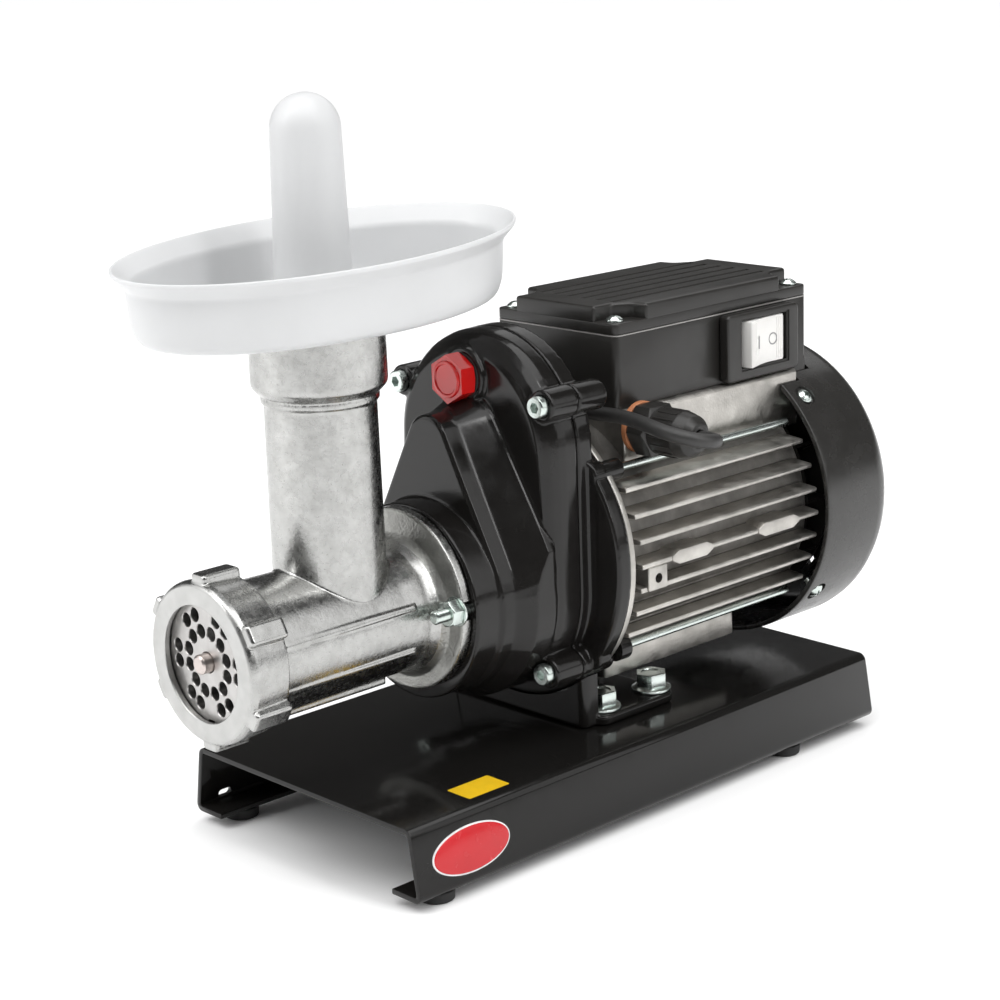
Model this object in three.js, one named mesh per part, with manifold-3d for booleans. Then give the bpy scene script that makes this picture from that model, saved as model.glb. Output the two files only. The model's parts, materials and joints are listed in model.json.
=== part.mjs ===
// Electric meat grinder: a size 5 grinding head driven by a capacitor motor through a two-stage
// gearbox, on a folded steel base. Millimetres, +Z up. The outlet faces -Y, the switch is on +X, and
// the origin is on the table, under the centre of the machine.
import * as THREE from 'three';
import { mergeVertices } from 'three/addons/utils/BufferGeometryUtils.js';
import Module from 'manifold-3d';

const wasm = await Module();
wasm.setup();

// ---- driving dimensions -------------------------------------------------------------------------
const GAP = 0.3; // between touching pieces
const SIDES = [1, -1];

// axes that run front to back
const HEAD_Z = 102.6; // grinding head and output gear
const MOTOR_Z = 113.1; // rotor
const LAYSHAFT_Z = 165.6; // intermediate gears, above both

// base
const BASE = { front: -121.7, rear: 171.6, half: 71, flare: 5, top: 36.1, bottom: 5, lip: 18, sheet: 2.5 };
const FOOT = { r: 8, x: 66, ys: [-104.6, 116.4] };
const BRACKET = { half: 48, front: 13.6, rear: 62, thick: 4.8, webFront: 5.4, webRear: 30, webHalf: 44 };
const BOLT = { x: 37.7, ys: [22.9, 56.1], flangeR: 9.2, flange: 1.8, af: 13, head: 6.5, r: 4, length: 14 };

// grinding head
const RING = { front: -167.6, rear: -147.6, r: 34.5, opening: 24.5, lip: 3.5, wall: 3.2 };
const LUG = { count: 6, width: 9, height: 3, length: 18.5 };
const PLATE = { r: 27, thick: 5, holeR: 2.9, innerR: 13, outerR: 20, pairHalf: 9.5, boreR: 4.4 };
const BARREL = { rear: -64.5, front: -161.5, r: 28, bore: 24.4, ribs: [16, -26, -90] };
const FLANGE = { front: -61, rear: -56, r: 40.4, up: 2.4, slot: 10, studX: 37, studUp: 4.4, boss: 7 };
const STUD_Z = HEAD_Z + FLANGE.studUp;
const NECK = { y: -98.6, top: 201.6, r: 23.4, rootR: 24.2, bore: 20 };
const COLLAR = { top: 231.2, r: 28.3, bore: 25.3, floor: 207 };
const AUGER = { r: 23.6, coreR: 9, front: -150, rear: -68, pitch: 25, thick: 4.2, spigotR: 4 };
const TANG = 12; // square drive behind the auger
const KNIFE = { r: 22.5, thick: 6.5, arm: 8, square: 9 };

// hopper tray and pusher
const TRAY = { y: -93.6, rimZ: 264.8, wallZ: 257.2, floorZ: 232.6, corner: 8, wall: 2.2, spout: 25, throat: 21.5 };
const TRAY_RIM = { a: 54, b: 96.4 };
const TRAY_MOUTH = { a: 48.6, b: 90.8 };
const TRAY_FLOOR = { a: 39.5, b: 81.5 };
const TRAY_LEAN = { x: -0.053, rim: 0.033, floor: 0.011 };
const PUSHER = { top: 324.9, bottom: 131.5, domeR: 14.4, bottomR: 19.2, wall: 2.6 };

// gearbox
const CASE = { r: 50, inner: 46.4, front: -17, seam: 0, rear: 13.4, chamfer: 4.5 };
const BOSS = { front: -55.6, r: 43.5 };
// [x, z, the rear end of the boss]
const CASE_BOLTS = [[44.7, 188.2, 18], [-44.7, 188.2, 18], [43.4, 69, 20], [-43.4, 69, 20]];
const CASE_BOLT = { bossR: 7, headR: 4.9, head: 6, r: 2.9 };
const OIL_PLUG = { z: 196.4, bossR: 12.5, bossFront: -20, af: 19, head: 8.5 };
const FIRST = { module: 1.5, pinion: 12, wheel: 58 }; // rotor to layshaft
const SECOND = { module: 2, pinion: 19, wheel: 44 }; // layshaft to output
const GEAR_TIP = 0.8; // addendum, in modules
const GEAR_ROOT = 1.05; // dedendum, in modules
const BACKLASH = 0.16; // of one module, off each tooth

// motor
const FLANGE_DISC = { r: 68, front: 5.4 };
const FRAME = { front: 13.8, rear: 143, r: 58, bore: 50, finTipR: 68, finPitch: 11, fins: 7, fin: 2.6 };
const PAD = { half: 42, top: 176.1, front: 37.2, rear: 156 };
const TIE_ROD = { x: 49, dz: 41.1, r: 1.9, front: 14, rear: 139 };
const FAN_COVER = { front: 143.4, rear: 193, r: 71.7, round: 186, rearR: 66, wall: 2.4, slots: 14 };
const ROTOR = { r: 31.5, shaftR: 7.5, front: 38, rear: 102 };

// terminal box
const BOX = { half: 38, front: 37.2, rear: 168.4, bottom: 176.4, seam: 209, wall: 2.6, leg: 152 };
const LID = { shoulder: 214.4, top: 221, notchX: 13, notchY: 20, grooves: 6 };
const SWITCH = { front: 105, rear: 155.4, bottom: 176.4, top: 208.4, out: 5.5 };
const ROCKER = { front: 116.4, rear: 146.4, bottom: 182.6, top: 204.4, lift: 5, turn: 8 };

// mains lead
const GLAND = { y: 46.4, z: 168, nutR: 12.7, domeR: 10.5, out: 78.6 };
const CORD_D = 6.4;

// ---- colours ------------------------------------------------------------------------------------
const paint = (color, roughness, metalness) =>
  new THREE.MeshStandardMaterial({ color, roughness, metalness });
const blackPaint = paint(0x111112, 0.25, 0.1);
const blackPlastic = paint(0x18181a, 0.4, 0);
const rubber = paint(0x0c0c0c, 0.85, 0);
const castAluminium = paint(0xc4c6c8, 0.38, 1);
const frameAluminium = paint(0xa5a19a, 0.5, 1);
const steel = paint(0x9d9d9b, 0.3, 1);
const zinc = paint(0xc3cfc9, 0.3, 1);
const whitePlastic = paint(0xf2f3f4, 0.45, 0);
const redPlastic = paint(0xd8161c, 0.3, 0);
const copper = paint(0xb8653a, 0.4, 0.9);
const brass = paint(0xc47a52, 0.5, 0.2);

// ---- solids -------------------------------------------------------------------------------------
const TURN = Math.PI * 2;

function solid(geometry) {
  geometry.deleteAttribute('normal');
  geometry.deleteAttribute('uv');
  const merged = mergeVertices(geometry, 1e-4);
  const index = merged.index.array;
  const faces = [];
  for (let i = 0; i < index.length; i += 3) {
    const [a, b, c] = [index[i], index[i + 1], index[i + 2]];
    if (a !== b && b !== c && c !== a) faces.push(a, b, c);
  }
  const at = (i) => new THREE.Vector3().fromBufferAttribute(merged.attributes.position, i);
  let volume = 0;
  for (let i = 0; i < faces.length; i += 3) {
    volume += at(faces[i]).dot(at(faces[i + 1]).cross(at(faces[i + 2])));
  }
  if (volume < 0) faces.reverse();
  const vertProperties = new Float32Array(merged.attributes.position.array);
  const triVerts = new Uint32Array(faces);
  return new wasm.Manifold(new wasm.Mesh({ numProp: 3, vertProperties, triVerts }));
}

const join = (...pieces) => pieces.reduce((a, b) => a.add(b));
const cut = (from, ...tools) => tools.reduce((a, b) => a.subtract(b), from);

// a box between two corners
function block(x0, x1, y0, y1, z0, z1) {
  const box = new THREE.BoxGeometry(x1 - x0, y1 - y0, z1 - z0);
  return solid(box.translate((x0 + x1) / 2, (y0 + y1) / 2, (z0 + z1) / 2));
}

// a turned piece: the profile is [along, radius] pairs, about a line along X, Y or Z through (u, v)
function turned(profile, axis = 'y', u = 0, v = 0, sides = 24, start = 0) {
  const points = profile.map(([along, r]) => new THREE.Vector2(r, along));
  const geometry = new THREE.LatheGeometry(points, sides, start);
  if (axis === 'x') return solid(geometry.rotateZ(-Math.PI / 2).translate(0, u, v));
  if (axis === 'z') return solid(geometry.rotateX(Math.PI / 2).translate(u, v, 0));
  return solid(geometry.translate(u, 0, v));
}

const rod = (from, to, r, axis, u, v, sides) =>
  turned([[from, 0], [from, r], [to, r], [to, 0]], axis, u, v, sides);
const tube = (from, to, outer, inner, axis, u, v, sides) =>
  turned([[from, inner], [from, outer], [to, outer], [to, inner], [from, inner]], axis, u, v, sides);

// an outline in X and Z, between two places along Y
function slab(shape, y0, y1) {
  const geometry = new THREE.ExtrudeGeometry(shape, { depth: y1 - y0, bevelEnabled: false, curveSegments: 9 });
  return solid(geometry.rotateX(Math.PI / 2).translate(0, y1, 0));
}

// an outline in X and Y, between two heights
function layer(shape, z0, z1) {
  const geometry = new THREE.ExtrudeGeometry(shape, { depth: z1 - z0, bevelEnabled: false, curveSegments: 8 });
  return solid(geometry.translate(0, 0, z0));
}

// a skin over rings of equally many points, closed on itself or with flat ends
function loft(rings, closed = false) {
  const n = rings[0].length;
  const positions = rings.flat().flatMap((p) => [p.x, p.y, p.z]);
  const index = [];
  const bands = closed ? rings.length : rings.length - 1;
  for (let i = 0; i < bands; i++) {
    const [a, b] = [i * n, ((i + 1) % rings.length) * n];
    for (let j = 0; j < n; j++) {
      const k = (j + 1) % n;
      index.push(a + j, a + k, b + k, a + j, b + k, b + j);
    }
  }
  if (!closed) {
    const last = (rings.length - 1) * n;
    for (let j = 1; j < n - 1; j++) index.push(0, j + 1, j, last, last + j, last + j + 1);
  }
  const geometry = new THREE.BufferGeometry();
  geometry.setAttribute('position', new THREE.Float32BufferAttribute(positions, 3));
  geometry.setIndex(index);
  return solid(geometry);
}

// ---- outlines -----------------------------------------------------------------------------------
const outline = (points) => new THREE.Shape(points.map(([x, y]) => new THREE.Vector2(x, y)));

function hexagon(af, x = 0, y = 0, turn = 0) {
  const corner = af / Math.sqrt(3);
  const points = [];
  for (let i = 0; i < 6; i++) {
    const angle = turn + (i * TURN) / 6;
    points.push([x + corner * Math.cos(angle), y + corner * Math.sin(angle)]);
  }
  return outline(points);
}

// the outline around two circles on the middle line, one above the other
function twoCircles(lowZ, lowR, highZ, highR) {
  const tilt = Math.asin((lowR - highR) / (highZ - lowZ));
  const shape = new THREE.Shape();
  shape.absarc(0, highZ, highR, tilt, Math.PI - tilt, false);
  shape.absarc(0, lowZ, lowR, Math.PI - tilt, TURN + tilt, false);
  return shape;
}

const involute = (r, base) => {
  if (r <= base) return 0;
  const s = Math.sqrt((r * r) / (base * base) - 1);
  return s - Math.atan(s);
};

// a spur gear; the turn is given in teeth
function gearOutline({ teeth, module, turn }) {
  const pitchR = (teeth * module) / 2;
  const base = pitchR * Math.cos(Math.PI / 9);
  const half = (Math.PI / 2 - BACKLASH) / teeth;
  const side = (r) => half + involute(pitchR, base) - involute(r, base);
  const radii = [pitchR - GEAR_ROOT * module, pitchR + GEAR_TIP * module];
  const points = [];
  for (let i = 0; i < teeth; i++) {
    const middle = ((i + turn) * TURN) / teeth;
    for (const r of radii) points.push([r * Math.cos(middle - side(r)), r * Math.sin(middle - side(r))]);
    for (const r of radii.slice().reverse()) {
      points.push([r * Math.cos(middle + side(r)), r * Math.sin(middle + side(r))]);
    }
  }
  return outline(points);
}

function gear(kind, y0, y1, z) {
  const shape = gearOutline(kind);
  const geometry = new THREE.ExtrudeGeometry(shape, { depth: y1 - y0, bevelEnabled: false });
  return solid(geometry.rotateX(Math.PI / 2).translate(0, y1, z));
}

// ---- the model ----------------------------------------------------------------------------------
const grinder = new THREE.Group();

function add(name, piece, material) {
  const mesh = piece.getMesh();
  const geometry = new THREE.BufferGeometry();
  geometry.setAttribute('position', new THREE.Float32BufferAttribute(mesh.vertProperties, 3));
  geometry.setIndex(new THREE.Uint32BufferAttribute(mesh.triVerts, 1));
  const part = new THREE.Mesh(geometry, material);
  part.name = name;
  grinder.add(part);
}

// ---- base ---------------------------------------------------------------------------------------
function basePlate() {
  const { half, flare, top, bottom, lip, sheet, front, rear } = BASE;
  const foot = half + flare;
  const right = [
    [foot - lip, bottom],
    [foot - 1.5, bottom],
    [foot, bottom + 1.5],
    [half + 0.4, top - 2],
    [half - 1.8, top],
  ];
  const inner = [
    [half - 3, top - sheet],
    [foot - sheet - 0.4, bottom + sheet],
    [foot - lip, bottom + sheet],
  ];
  const mirrored = (points) => points.map(([x, z]) => [-x, z]).reverse();
  const section = [...right, ...mirrored(right), ...mirrored(inner).slice().map((p) => p), ...inner];
  const holes = boltPlaces().map(([x, y]) => rod(top - 5, top + 1, BOLT.r + 0.4, 'z', x, y, 12));
  return cut(slab(outline(section), front, rear), ...holes);
}

function boltPlaces() {
  return BOLT.ys.flatMap((y) => [[BOLT.x, y], [-BOLT.x, y]]);
}

function motorBracket() {
  const z0 = BASE.top + GAP;
  const z1 = z0 + BRACKET.thick;
  const platform = block(-BRACKET.half, BRACKET.half, BRACKET.front, BRACKET.rear, z0, z1);
  const web = block(-BRACKET.webHalf, BRACKET.webHalf, BRACKET.webFront, BRACKET.webRear, z0, MOTOR_Z - 48);
  const saddle = rod(0, 70, FLANGE_DISC.r + GAP, 'y', 0, MOTOR_Z, 30);
  const holes = boltPlaces().map(([x, y]) => rod(z0 - 1, z1 + 1, BOLT.r + 0.4, 'z', x, y, 12));
  const heads = boltPlaces().map(([x, y]) => rod(z1, MOTOR_Z, BOLT.flangeR + 0.6, 'z', x, y, 16));
  return cut(join(platform, web), saddle, ...holes, ...heads);
}

function bracketBolt(x, y) {
  const seat = BASE.top + BRACKET.thick + 2 * GAP;
  const { flangeR, flange, r, length, af, head } = BOLT;
  const stem = turned([[seat - length, 0], [seat - length, r], [seat, r], [seat, flangeR],
    [seat + flange * 0.5, flangeR], [seat + flange, 7.2], [seat + flange, 0]], 'z', x, y, 12);
  return join(stem, layer(hexagon(af, x, y), seat + flange * 0.5, seat + flange + head));
}

function rubberFoot(x, y) {
  const top = BASE.bottom - GAP;
  return turned([[0, 0], [0, FOOT.r - 1.6], [1, FOOT.r - 0.8], [top, FOOT.r], [top, 0]], 'z', x, y, 14);
}

add('base_plate', basePlate(), blackPaint);
const footPlaces = FOOT.ys.flatMap((y) => [[FOOT.x, y], [-FOOT.x, y]]);
footPlaces.forEach(([x, y], i) => add(`rubber_foot_${i + 1}`, rubberFoot(x, y), rubber));
add('motor_bracket', motorBracket(), blackPaint);
boltPlaces().forEach(([x, y], i) => add(`bracket_bolt_${i + 1}`, bracketBolt(x, y), zinc));

// ---- grinding head ------------------------------------------------------------------------------
const polar = (r, degrees) => {
  const angle = (degrees * TURN) / 360;
  return [r * Math.cos(angle), r * Math.sin(angle)];
};

// a bar that lies along a cylinder about the head axis, at an angle from +X
function barAlong(degrees, r0, r1, width, y0, y1) {
  const bar = new THREE.BoxGeometry(r1 - r0, y1 - y0, width).translate((r0 + r1) / 2, (y0 + y1) / 2, 0);
  return solid(bar.rotateY((-degrees * TURN) / 360).translate(0, 0, HEAD_Z));
}

function grinderHead() {
  const seat = RING.front + RING.lip + GAP + PLATE.thick;
  const threadR = RING.r - RING.wall - GAP;
  const barrel = turned([
    [BARREL.front, 0], [BARREL.front, threadR], [RING.rear - 1, threadR], [RING.rear + 1.5, BARREL.r + 0.8],
    [-80, BARREL.r], [-66, BARREL.r + 0.6], [-62.6, BARREL.r + 1.8], [FLANGE.front, BARREL.r + 4],
    [FLANGE.rear, BARREL.r + 4], [FLANGE.rear, 0],
  ], 'y', 0, HEAD_Z, 30);
  const flange = turned([
    [FLANGE.front, 0], [FLANGE.front, FLANGE.r - 0.8], [FLANGE.front + 0.8, FLANGE.r], [FLANGE.rear, FLANGE.r],
    [FLANGE.rear, 0],
  ], 'y', 0, HEAD_Z + FLANGE.up, 36);
  const neck = turned([
    [HEAD_Z, 0], [HEAD_Z, NECK.rootR], [NECK.top - 1, NECK.r], [NECK.top + 1, COLLAR.r - 2.2],
    [NECK.top + 4, COLLAR.r - 0.4], [NECK.top + 8, COLLAR.r], [COLLAR.top - GAP, COLLAR.r],
    [COLLAR.top - GAP, 0],
  ], 'z', 0, NECK.y, 26);
  const ribs = BARREL.ribs.map((angle) => {
    const width = angle === -90 ? 12 : 2.2;
    const rise = angle === -90 ? 3.4 : 1;
    return barAlong(angle, BARREL.r - 4, BARREL.r + rise, width, RING.rear + 3, -76);
  });
  const spotFaces = SIDES.map((side) =>
    rod(-80, FLANGE.front, FLANGE.boss, 'y', side * FLANGE.studX, STUD_Z, 12));
  const slots = SIDES.flatMap((side) => [
    rod(FLANGE.front - 1, FLANGE.rear + 1, FLANGE.slot / 2 - 1, 'y', side * FLANGE.studX, STUD_Z, 12),
    block(Math.min(side * FLANGE.studX, side * 50), Math.max(side * FLANGE.studX, side * 50),
      FLANGE.front - 3, FLANGE.rear + 1, STUD_Z - FLANGE.slot / 2 + 1, STUD_Z + FLANGE.slot / 2 - 1),
  ]);
  const bores = [
    turned([[-170, 0], [-170, PLATE.r + GAP], [seat, PLATE.r + GAP], [seat, BARREL.bore],
      [BARREL.rear, BARREL.bore], [BARREL.rear, 13], [FLANGE.rear + 2, 13],
      [FLANGE.rear + 2, 0]], 'y', 0, HEAD_Z, 28),
    turned([[HEAD_Z, 0], [HEAD_Z, NECK.bore], [COLLAR.floor, NECK.bore], [COLLAR.floor, COLLAR.bore],
      [COLLAR.top + 2, COLLAR.bore], [COLLAR.top + 2, 0]], 'z', 0, NECK.y, 30),
  ];
  return cut(join(barrel, flange, neck, ...ribs), ...slots, ...spotFaces, ...bores);
}

function headStud(side) {
  return rod(FLANGE.front - 13.4, BOSS.front + 8, 2.9, 'y', side * FLANGE.studX, STUD_Z, 12);
}

function headNut(side) {
  const x = side * FLANGE.studX;
  const seat = FLANGE.front - GAP;
  const nut = slab(hexagon(10.5, x, STUD_Z), seat - 6.5, seat);
  return cut(nut, rod(seat - 9, seat + 1, 2.9 + GAP, 'y', x, STUD_Z, 12));
}

function ringNut() {
  const { front, rear, r, opening, lip, wall } = RING;
  const inner = r - wall;
  const ring = turned([
    [front, opening], [front, r - 1.6], [front + 1.2, r - 0.4], [front + 3, r], [rear, r - 1],
    [rear, inner], [front + lip, inner], [front + lip, opening + 1], [front, opening],
  ], 'y', 0, HEAD_Z, 30);
  const lugs = [];
  for (let i = 0; i < LUG.count; i++) {
    const angle = 30 + (i * 360) / LUG.count;
    lugs.push(barAlong(angle, inner + 1, r + LUG.height, LUG.width, rear - LUG.length, rear));
  }
  return join(ring, ...lugs);
}

function grindingPlate() {
  const front = RING.front + RING.lip + GAP;
  const hole = (r, degrees) => {
    const [x, z] = polar(r, degrees);
    return rod(front - 1, front + PLATE.thick + 1, PLATE.holeR, 'y', x, HEAD_Z + z, 8);
  };
  const holes = [rod(front - 1, front + PLATE.thick + 1, PLATE.boreR, 'y', 0, HEAD_Z, 16)];
  for (let i = 0; i < 12; i++) holes.push(hole(PLATE.innerR, 15 + i * 30));
  for (let i = 0; i < 6; i++) {
    holes.push(hole(PLATE.outerR, i * 60 - PLATE.pairHalf), hole(PLATE.outerR, i * 60 + PLATE.pairHalf));
  }
  const key = block(-2, 2, front - 1, front + PLATE.thick + 1, HEAD_Z - PLATE.r - 1, HEAD_Z - PLATE.r + 2.4);
  return cut(rod(front, front + PLATE.thick, PLATE.r, 'y', 0, HEAD_Z, 28), ...holes, key);
}

function auger() {
  const { r, coreR, front, rear, pitch, thick, spigotR } = AUGER;
  const turns = (rear - 4 - (front + thick)) / pitch;
  const steps = Math.ceil(turns * 12);
  const rings = [];
  for (let i = 0; i <= steps; i++) {
    const angle = (i / steps) * turns * TURN;
    const y = front + thick / 2 + (i / steps) * turns * pitch;
    const at = (radius, dy) =>
      new THREE.Vector3(radius * Math.cos(angle), y + dy, HEAD_Z + radius * Math.sin(angle));
    rings.push([at(coreR - 3, -thick), at(r, -thick / 2), at(r, thick / 2), at(coreR - 3, thick)]);
  }
  const core = turned([
    [RING.front - 0.8, 0], [RING.front - 0.8, spigotR - 0.8], [RING.front, spigotR],
    [front - KNIFE.thick - 2, spigotR], [front - KNIFE.thick - 2, 4], [front, 4], [front, coreR + 1],
    [rear - 10, coreR + 4], [rear, coreR + 4], [rear, 12.4], [FLANGE.rear - 5, 12.4], [FLANGE.rear - 5, 0],
  ], 'y', 0, HEAD_Z, 24);
  const square = KNIFE.square / 2;
  const drive = block(-square, square, front - KNIFE.thick - 1.4, front, HEAD_Z - square, HEAD_Z + square);
  const h = TANG / 2;
  const tang = block(-h, h, FLANGE.rear - 6, FLANGE.rear + 8, HEAD_Z - h, HEAD_Z + h);
  const face = rod(front - 8, front - GAP, r + 8, 'y', 0, HEAD_Z, 24);
  const fin = cut(loft(rings), face);
  return join(core, drive, tang, fin);
}

function knife() {
  const y1 = AUGER.front - 2 * GAP;
  const y0 = y1 - KNIFE.thick;
  const arms = [0, 90].map((degrees) => {
    const bar = new THREE.BoxGeometry(2 * KNIFE.r, y1 - y0, KNIFE.arm).translate(0, (y0 + y1) / 2, 0);
    return solid(bar.rotateY(((degrees + 20) * TURN) / 360).translate(0, 0, HEAD_Z));
  });
  const hub = rod(y0, y1, 9.5, 'y', 0, HEAD_Z, 20);
  const square = KNIFE.square / 2 + GAP;
  return cut(join(hub, ...arms), block(-square, square, y0 - 1, y1 + 1, HEAD_Z - square, HEAD_Z + square));
}

add('grinder_head', grinderHead(), castAluminium);
add('ring_nut', ringNut(), castAluminium);
add('grinding_plate', grindingPlate(), steel);
add('auger', auger(), castAluminium);
add('knife', knife(), steel);
for (const [side, word] of [[1, 'right'], [-1, 'left']]) {
  add(`head_stud_${word}`, headStud(side), zinc);
  add(`head_nut_${word}`, headNut(side), zinc);
}

// ---- tray and pusher ----------------------------------------------------------------------------
function ovalRing(z, a, b, y, lean = { x: 0, y: 0 }) {
  const ring = [];
  for (let i = 0; i < 40; i++) {
    const angle = (i * TURN) / 40;
    const across = a * Math.cos(angle);
    const along = b * Math.sin(angle);
    ring.push(new THREE.Vector3(across, y + along, z + lean.x * across + lean.y * along));
  }
  return ring;
}

// The pan leans a little and is deeper at the rear; its spout stays square to the neck.
function trayRing(z, { a, b }, inset = 0) {
  const { x, rim, floor } = TRAY_LEAN;
  const height = (z - TRAY.floorZ) / (TRAY.rimZ - TRAY.floorZ);
  return ovalRing(z, a - inset, b - inset, TRAY.y, { x, y: floor + height * (rim - floor) });
}

function spoutRing(z, r) {
  return ovalRing(z, r, r, NECK.y);
}

function tray() {
  const { rimZ, wallZ, floorZ, corner, wall, spout, throat } = TRAY;
  const side = { a: TRAY_FLOOR.a + corner, b: TRAY_FLOOR.b + corner };
  const bend = corner * (1 - Math.SQRT1_2);
  return loft([
    trayRing(rimZ, TRAY_RIM),
    trayRing(rimZ - 1.6, TRAY_RIM),
    trayRing(wallZ, TRAY_MOUTH),
    trayRing(floorZ + corner, side),
    trayRing(floorZ + bend, side, bend),
    trayRing(floorZ, TRAY_FLOOR),
    spoutRing(floorZ, spout),
    spoutRing(COLLAR.floor + 2, spout - 1),
    spoutRing(COLLAR.floor + 2, throat),
    spoutRing(floorZ + wall, throat + 0.8),
    trayRing(floorZ + wall, TRAY_FLOOR, 0.5),
    trayRing(floorZ + bend + 1.5, side, bend + 1.6),
    trayRing(floorZ + corner, side, wall),
    trayRing(wallZ + 0.4, TRAY_MOUTH, wall),
  ], true);
}

function pusher() {
  const { top, bottom, domeR, bottomR, wall } = PUSHER;
  const dome = (r) => [0, 1, 2, 3, 4].map((i) => {
    const angle = (i * TURN) / 16;
    return [top - domeR + r * Math.cos(angle), r * Math.sin(angle)];
  });
  const inner = dome(domeR - wall).reverse();
  return turned([...dome(domeR), [bottom, bottomR], [bottom, bottomR - wall], ...inner], 'z', 0, NECK.y, 24);
}

add('tray', tray(), whitePlastic);
add('pusher', pusher(), whitePlastic);

// ---- gearbox ------------------------------------------------------------------------------------
function caseBosses(y0, y1) {
  return CASE_BOLTS.map(([x, z, rear]) => rod(y0, y1 ?? rear, CASE_BOLT.bossR, 'y', x, z, 12));
}

function boltHoles(y0, y1) {
  return CASE_BOLTS.map(([x, z, rear]) => rod(y0, y1 ?? rear - 3, CASE_BOLT.r + GAP, 'y', x, z, 8));
}

function gearboxCover() {
  const whole = (r) => twoCircles(HEAD_Z, r, LAYSHAFT_Z, r - 0.001);
  const { r, inner, front, seam, chamfer } = CASE;
  const shell = join(
    slab(whole(r - chamfer), front, front + 4),
    slab(whole(r), front + 3, seam - GAP / 2),
    slab(twoCircles(HEAD_Z, r - 1.5, 168, 17), front - 6, front + 1),
    slab(twoCircles(HEAD_Z, r - 3.5, 169, 13), front - 12.5, front - 5),
    slab(twoCircles(HEAD_Z, BOSS.r + 1.5, 170, 9), front - 25, front - 11),
    rod(BOSS.front, front - 20, BOSS.r, 'y', 0, HEAD_Z, 30),
    rod(OIL_PLUG.bossFront, front + 3, OIL_PLUG.bossR, 'y', 0, OIL_PLUG.z, 20),
    ...caseBosses(front + 1, seam - GAP / 2),
  );
  const studHoles = SIDES.map((side) =>
    rod(BOSS.front - 1, BOSS.front + 9, 2.9 + GAP, 'y', side * FLANGE.studX, STUD_Z, 12));
  return cut(
    shell,
    slab(whole(inner), front + 3.4, seam + 1),
    turned([[BOSS.front - 1, 0], [BOSS.front - 1, 14], [-51, 14], [-51, 20.3], [front + 5, 20.3],
      [front + 5, 0]], 'y', 0, HEAD_Z, 28),
    rod(OIL_PLUG.bossFront - 1, front + 6, 5.3, 'y', 0, OIL_PLUG.z, 16),
    rod(front - 1, front + 5, 8.3, 'y', 0, LAYSHAFT_Z, 20),
    ...CASE_BOLTS.map(([x, z]) => rod(front - 1, front + 3.4, CASE_BOLT.headR + GAP, 'y', x, z, 12)),
    ...boltHoles(front, seam + 1),
    ...studHoles,
  );
}

function gearboxHousing() {
  const whole = (r) => twoCircles(HEAD_Z, r, LAYSHAFT_Z, r - 0.001);
  const { r, inner, seam, rear } = CASE;
  const ears = [1, -1].flatMap((sx) => [1, -1].map((sz) =>
    rod(FLANGE_DISC.front, rear, 6, 'y', sx * TIE_ROD.x, MOTOR_Z + sz * TIE_ROD.dz, 12)));
  return cut(
    join(
      slab(whole(r), seam + GAP / 2, 9),
      rod(FLANGE_DISC.front, rear, FLANGE_DISC.r, 'y', 0, MOTOR_Z, 30),
      ...ears,
      ...caseBosses(seam + GAP / 2),
    ),
    slab(whole(inner), seam - 1, rear - 4),
    rod(seam, rear + 1, 15.3, 'y', 0, MOTOR_Z, 24),
    ...boltHoles(seam - 1),
    ...[1, -1].flatMap((sx) => [1, -1].map((sz) =>
      rod(rear - 4, rear + 1, TIE_ROD.r + GAP, 'y', sx * TIE_ROD.x, MOTOR_Z + sz * TIE_ROD.dz, 10))),
  );
}

function caseScrew([x, z, rear]) {
  const { headR, head, r } = CASE_BOLT;
  const front = CASE.front + 3.4 - GAP - head;
  const screw = turned([[front, 0], [front, headR - 0.5], [front + 0.5, headR], [front + head, headR],
    [front + head, r], [rear - 4, r], [rear - 4, 0]], 'y', x, z, 8);
  return cut(screw, slab(hexagon(4.6, x, z), front - 1, front + 3));
}

function oilPlug() {
  const seat = OIL_PLUG.bossFront - GAP;
  const head = slab(hexagon(OIL_PLUG.af, 0, OIL_PLUG.z, TURN / 12), seat - OIL_PLUG.head, seat);
  const crown = rod(seat - OIL_PLUG.head - 1, seat - OIL_PLUG.head + 1, OIL_PLUG.af / 2 - 1.4, 'y', 0, OIL_PLUG.z, 20);
  return join(head, crown, rod(seat - 1, seat + 9, 5, 'y', 0, OIL_PLUG.z, 16));
}

function outputGear() {
  const { module, wheel } = SECOND;
  const shaft = turned([[FLANGE.rear - 4, 0], [FLANGE.rear - 4, 12], [-2.6, 12], [-2.6, 0]], 'y', 0, HEAD_Z, 24);
  const h = TANG / 2 + GAP;
  const socket = block(-h, h, FLANGE.rear - 5, FLANGE.rear + 9, HEAD_Z - h, HEAD_Z + h);
  return cut(join(gear({ teeth: wheel, module, turn: 0 }, -12.8, -3, HEAD_Z), shaft), socket);
}

function layshaft() {
  const pinionTurn = ((SECOND.pinion * 3) / 4) % 1;
  const wheelTurn = 0;
  return join(
    gear({ teeth: SECOND.pinion, module: SECOND.module, turn: pinionTurn + 0.5 }, -13, -0.5, LAYSHAFT_Z),
    gear({ teeth: FIRST.wheel, module: FIRST.module, turn: wheelTurn }, -0.6, 7.4, LAYSHAFT_Z),
    rod(CASE.front + 1, 9, 8, 'y', 0, LAYSHAFT_Z, 20),
  );
}

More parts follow.
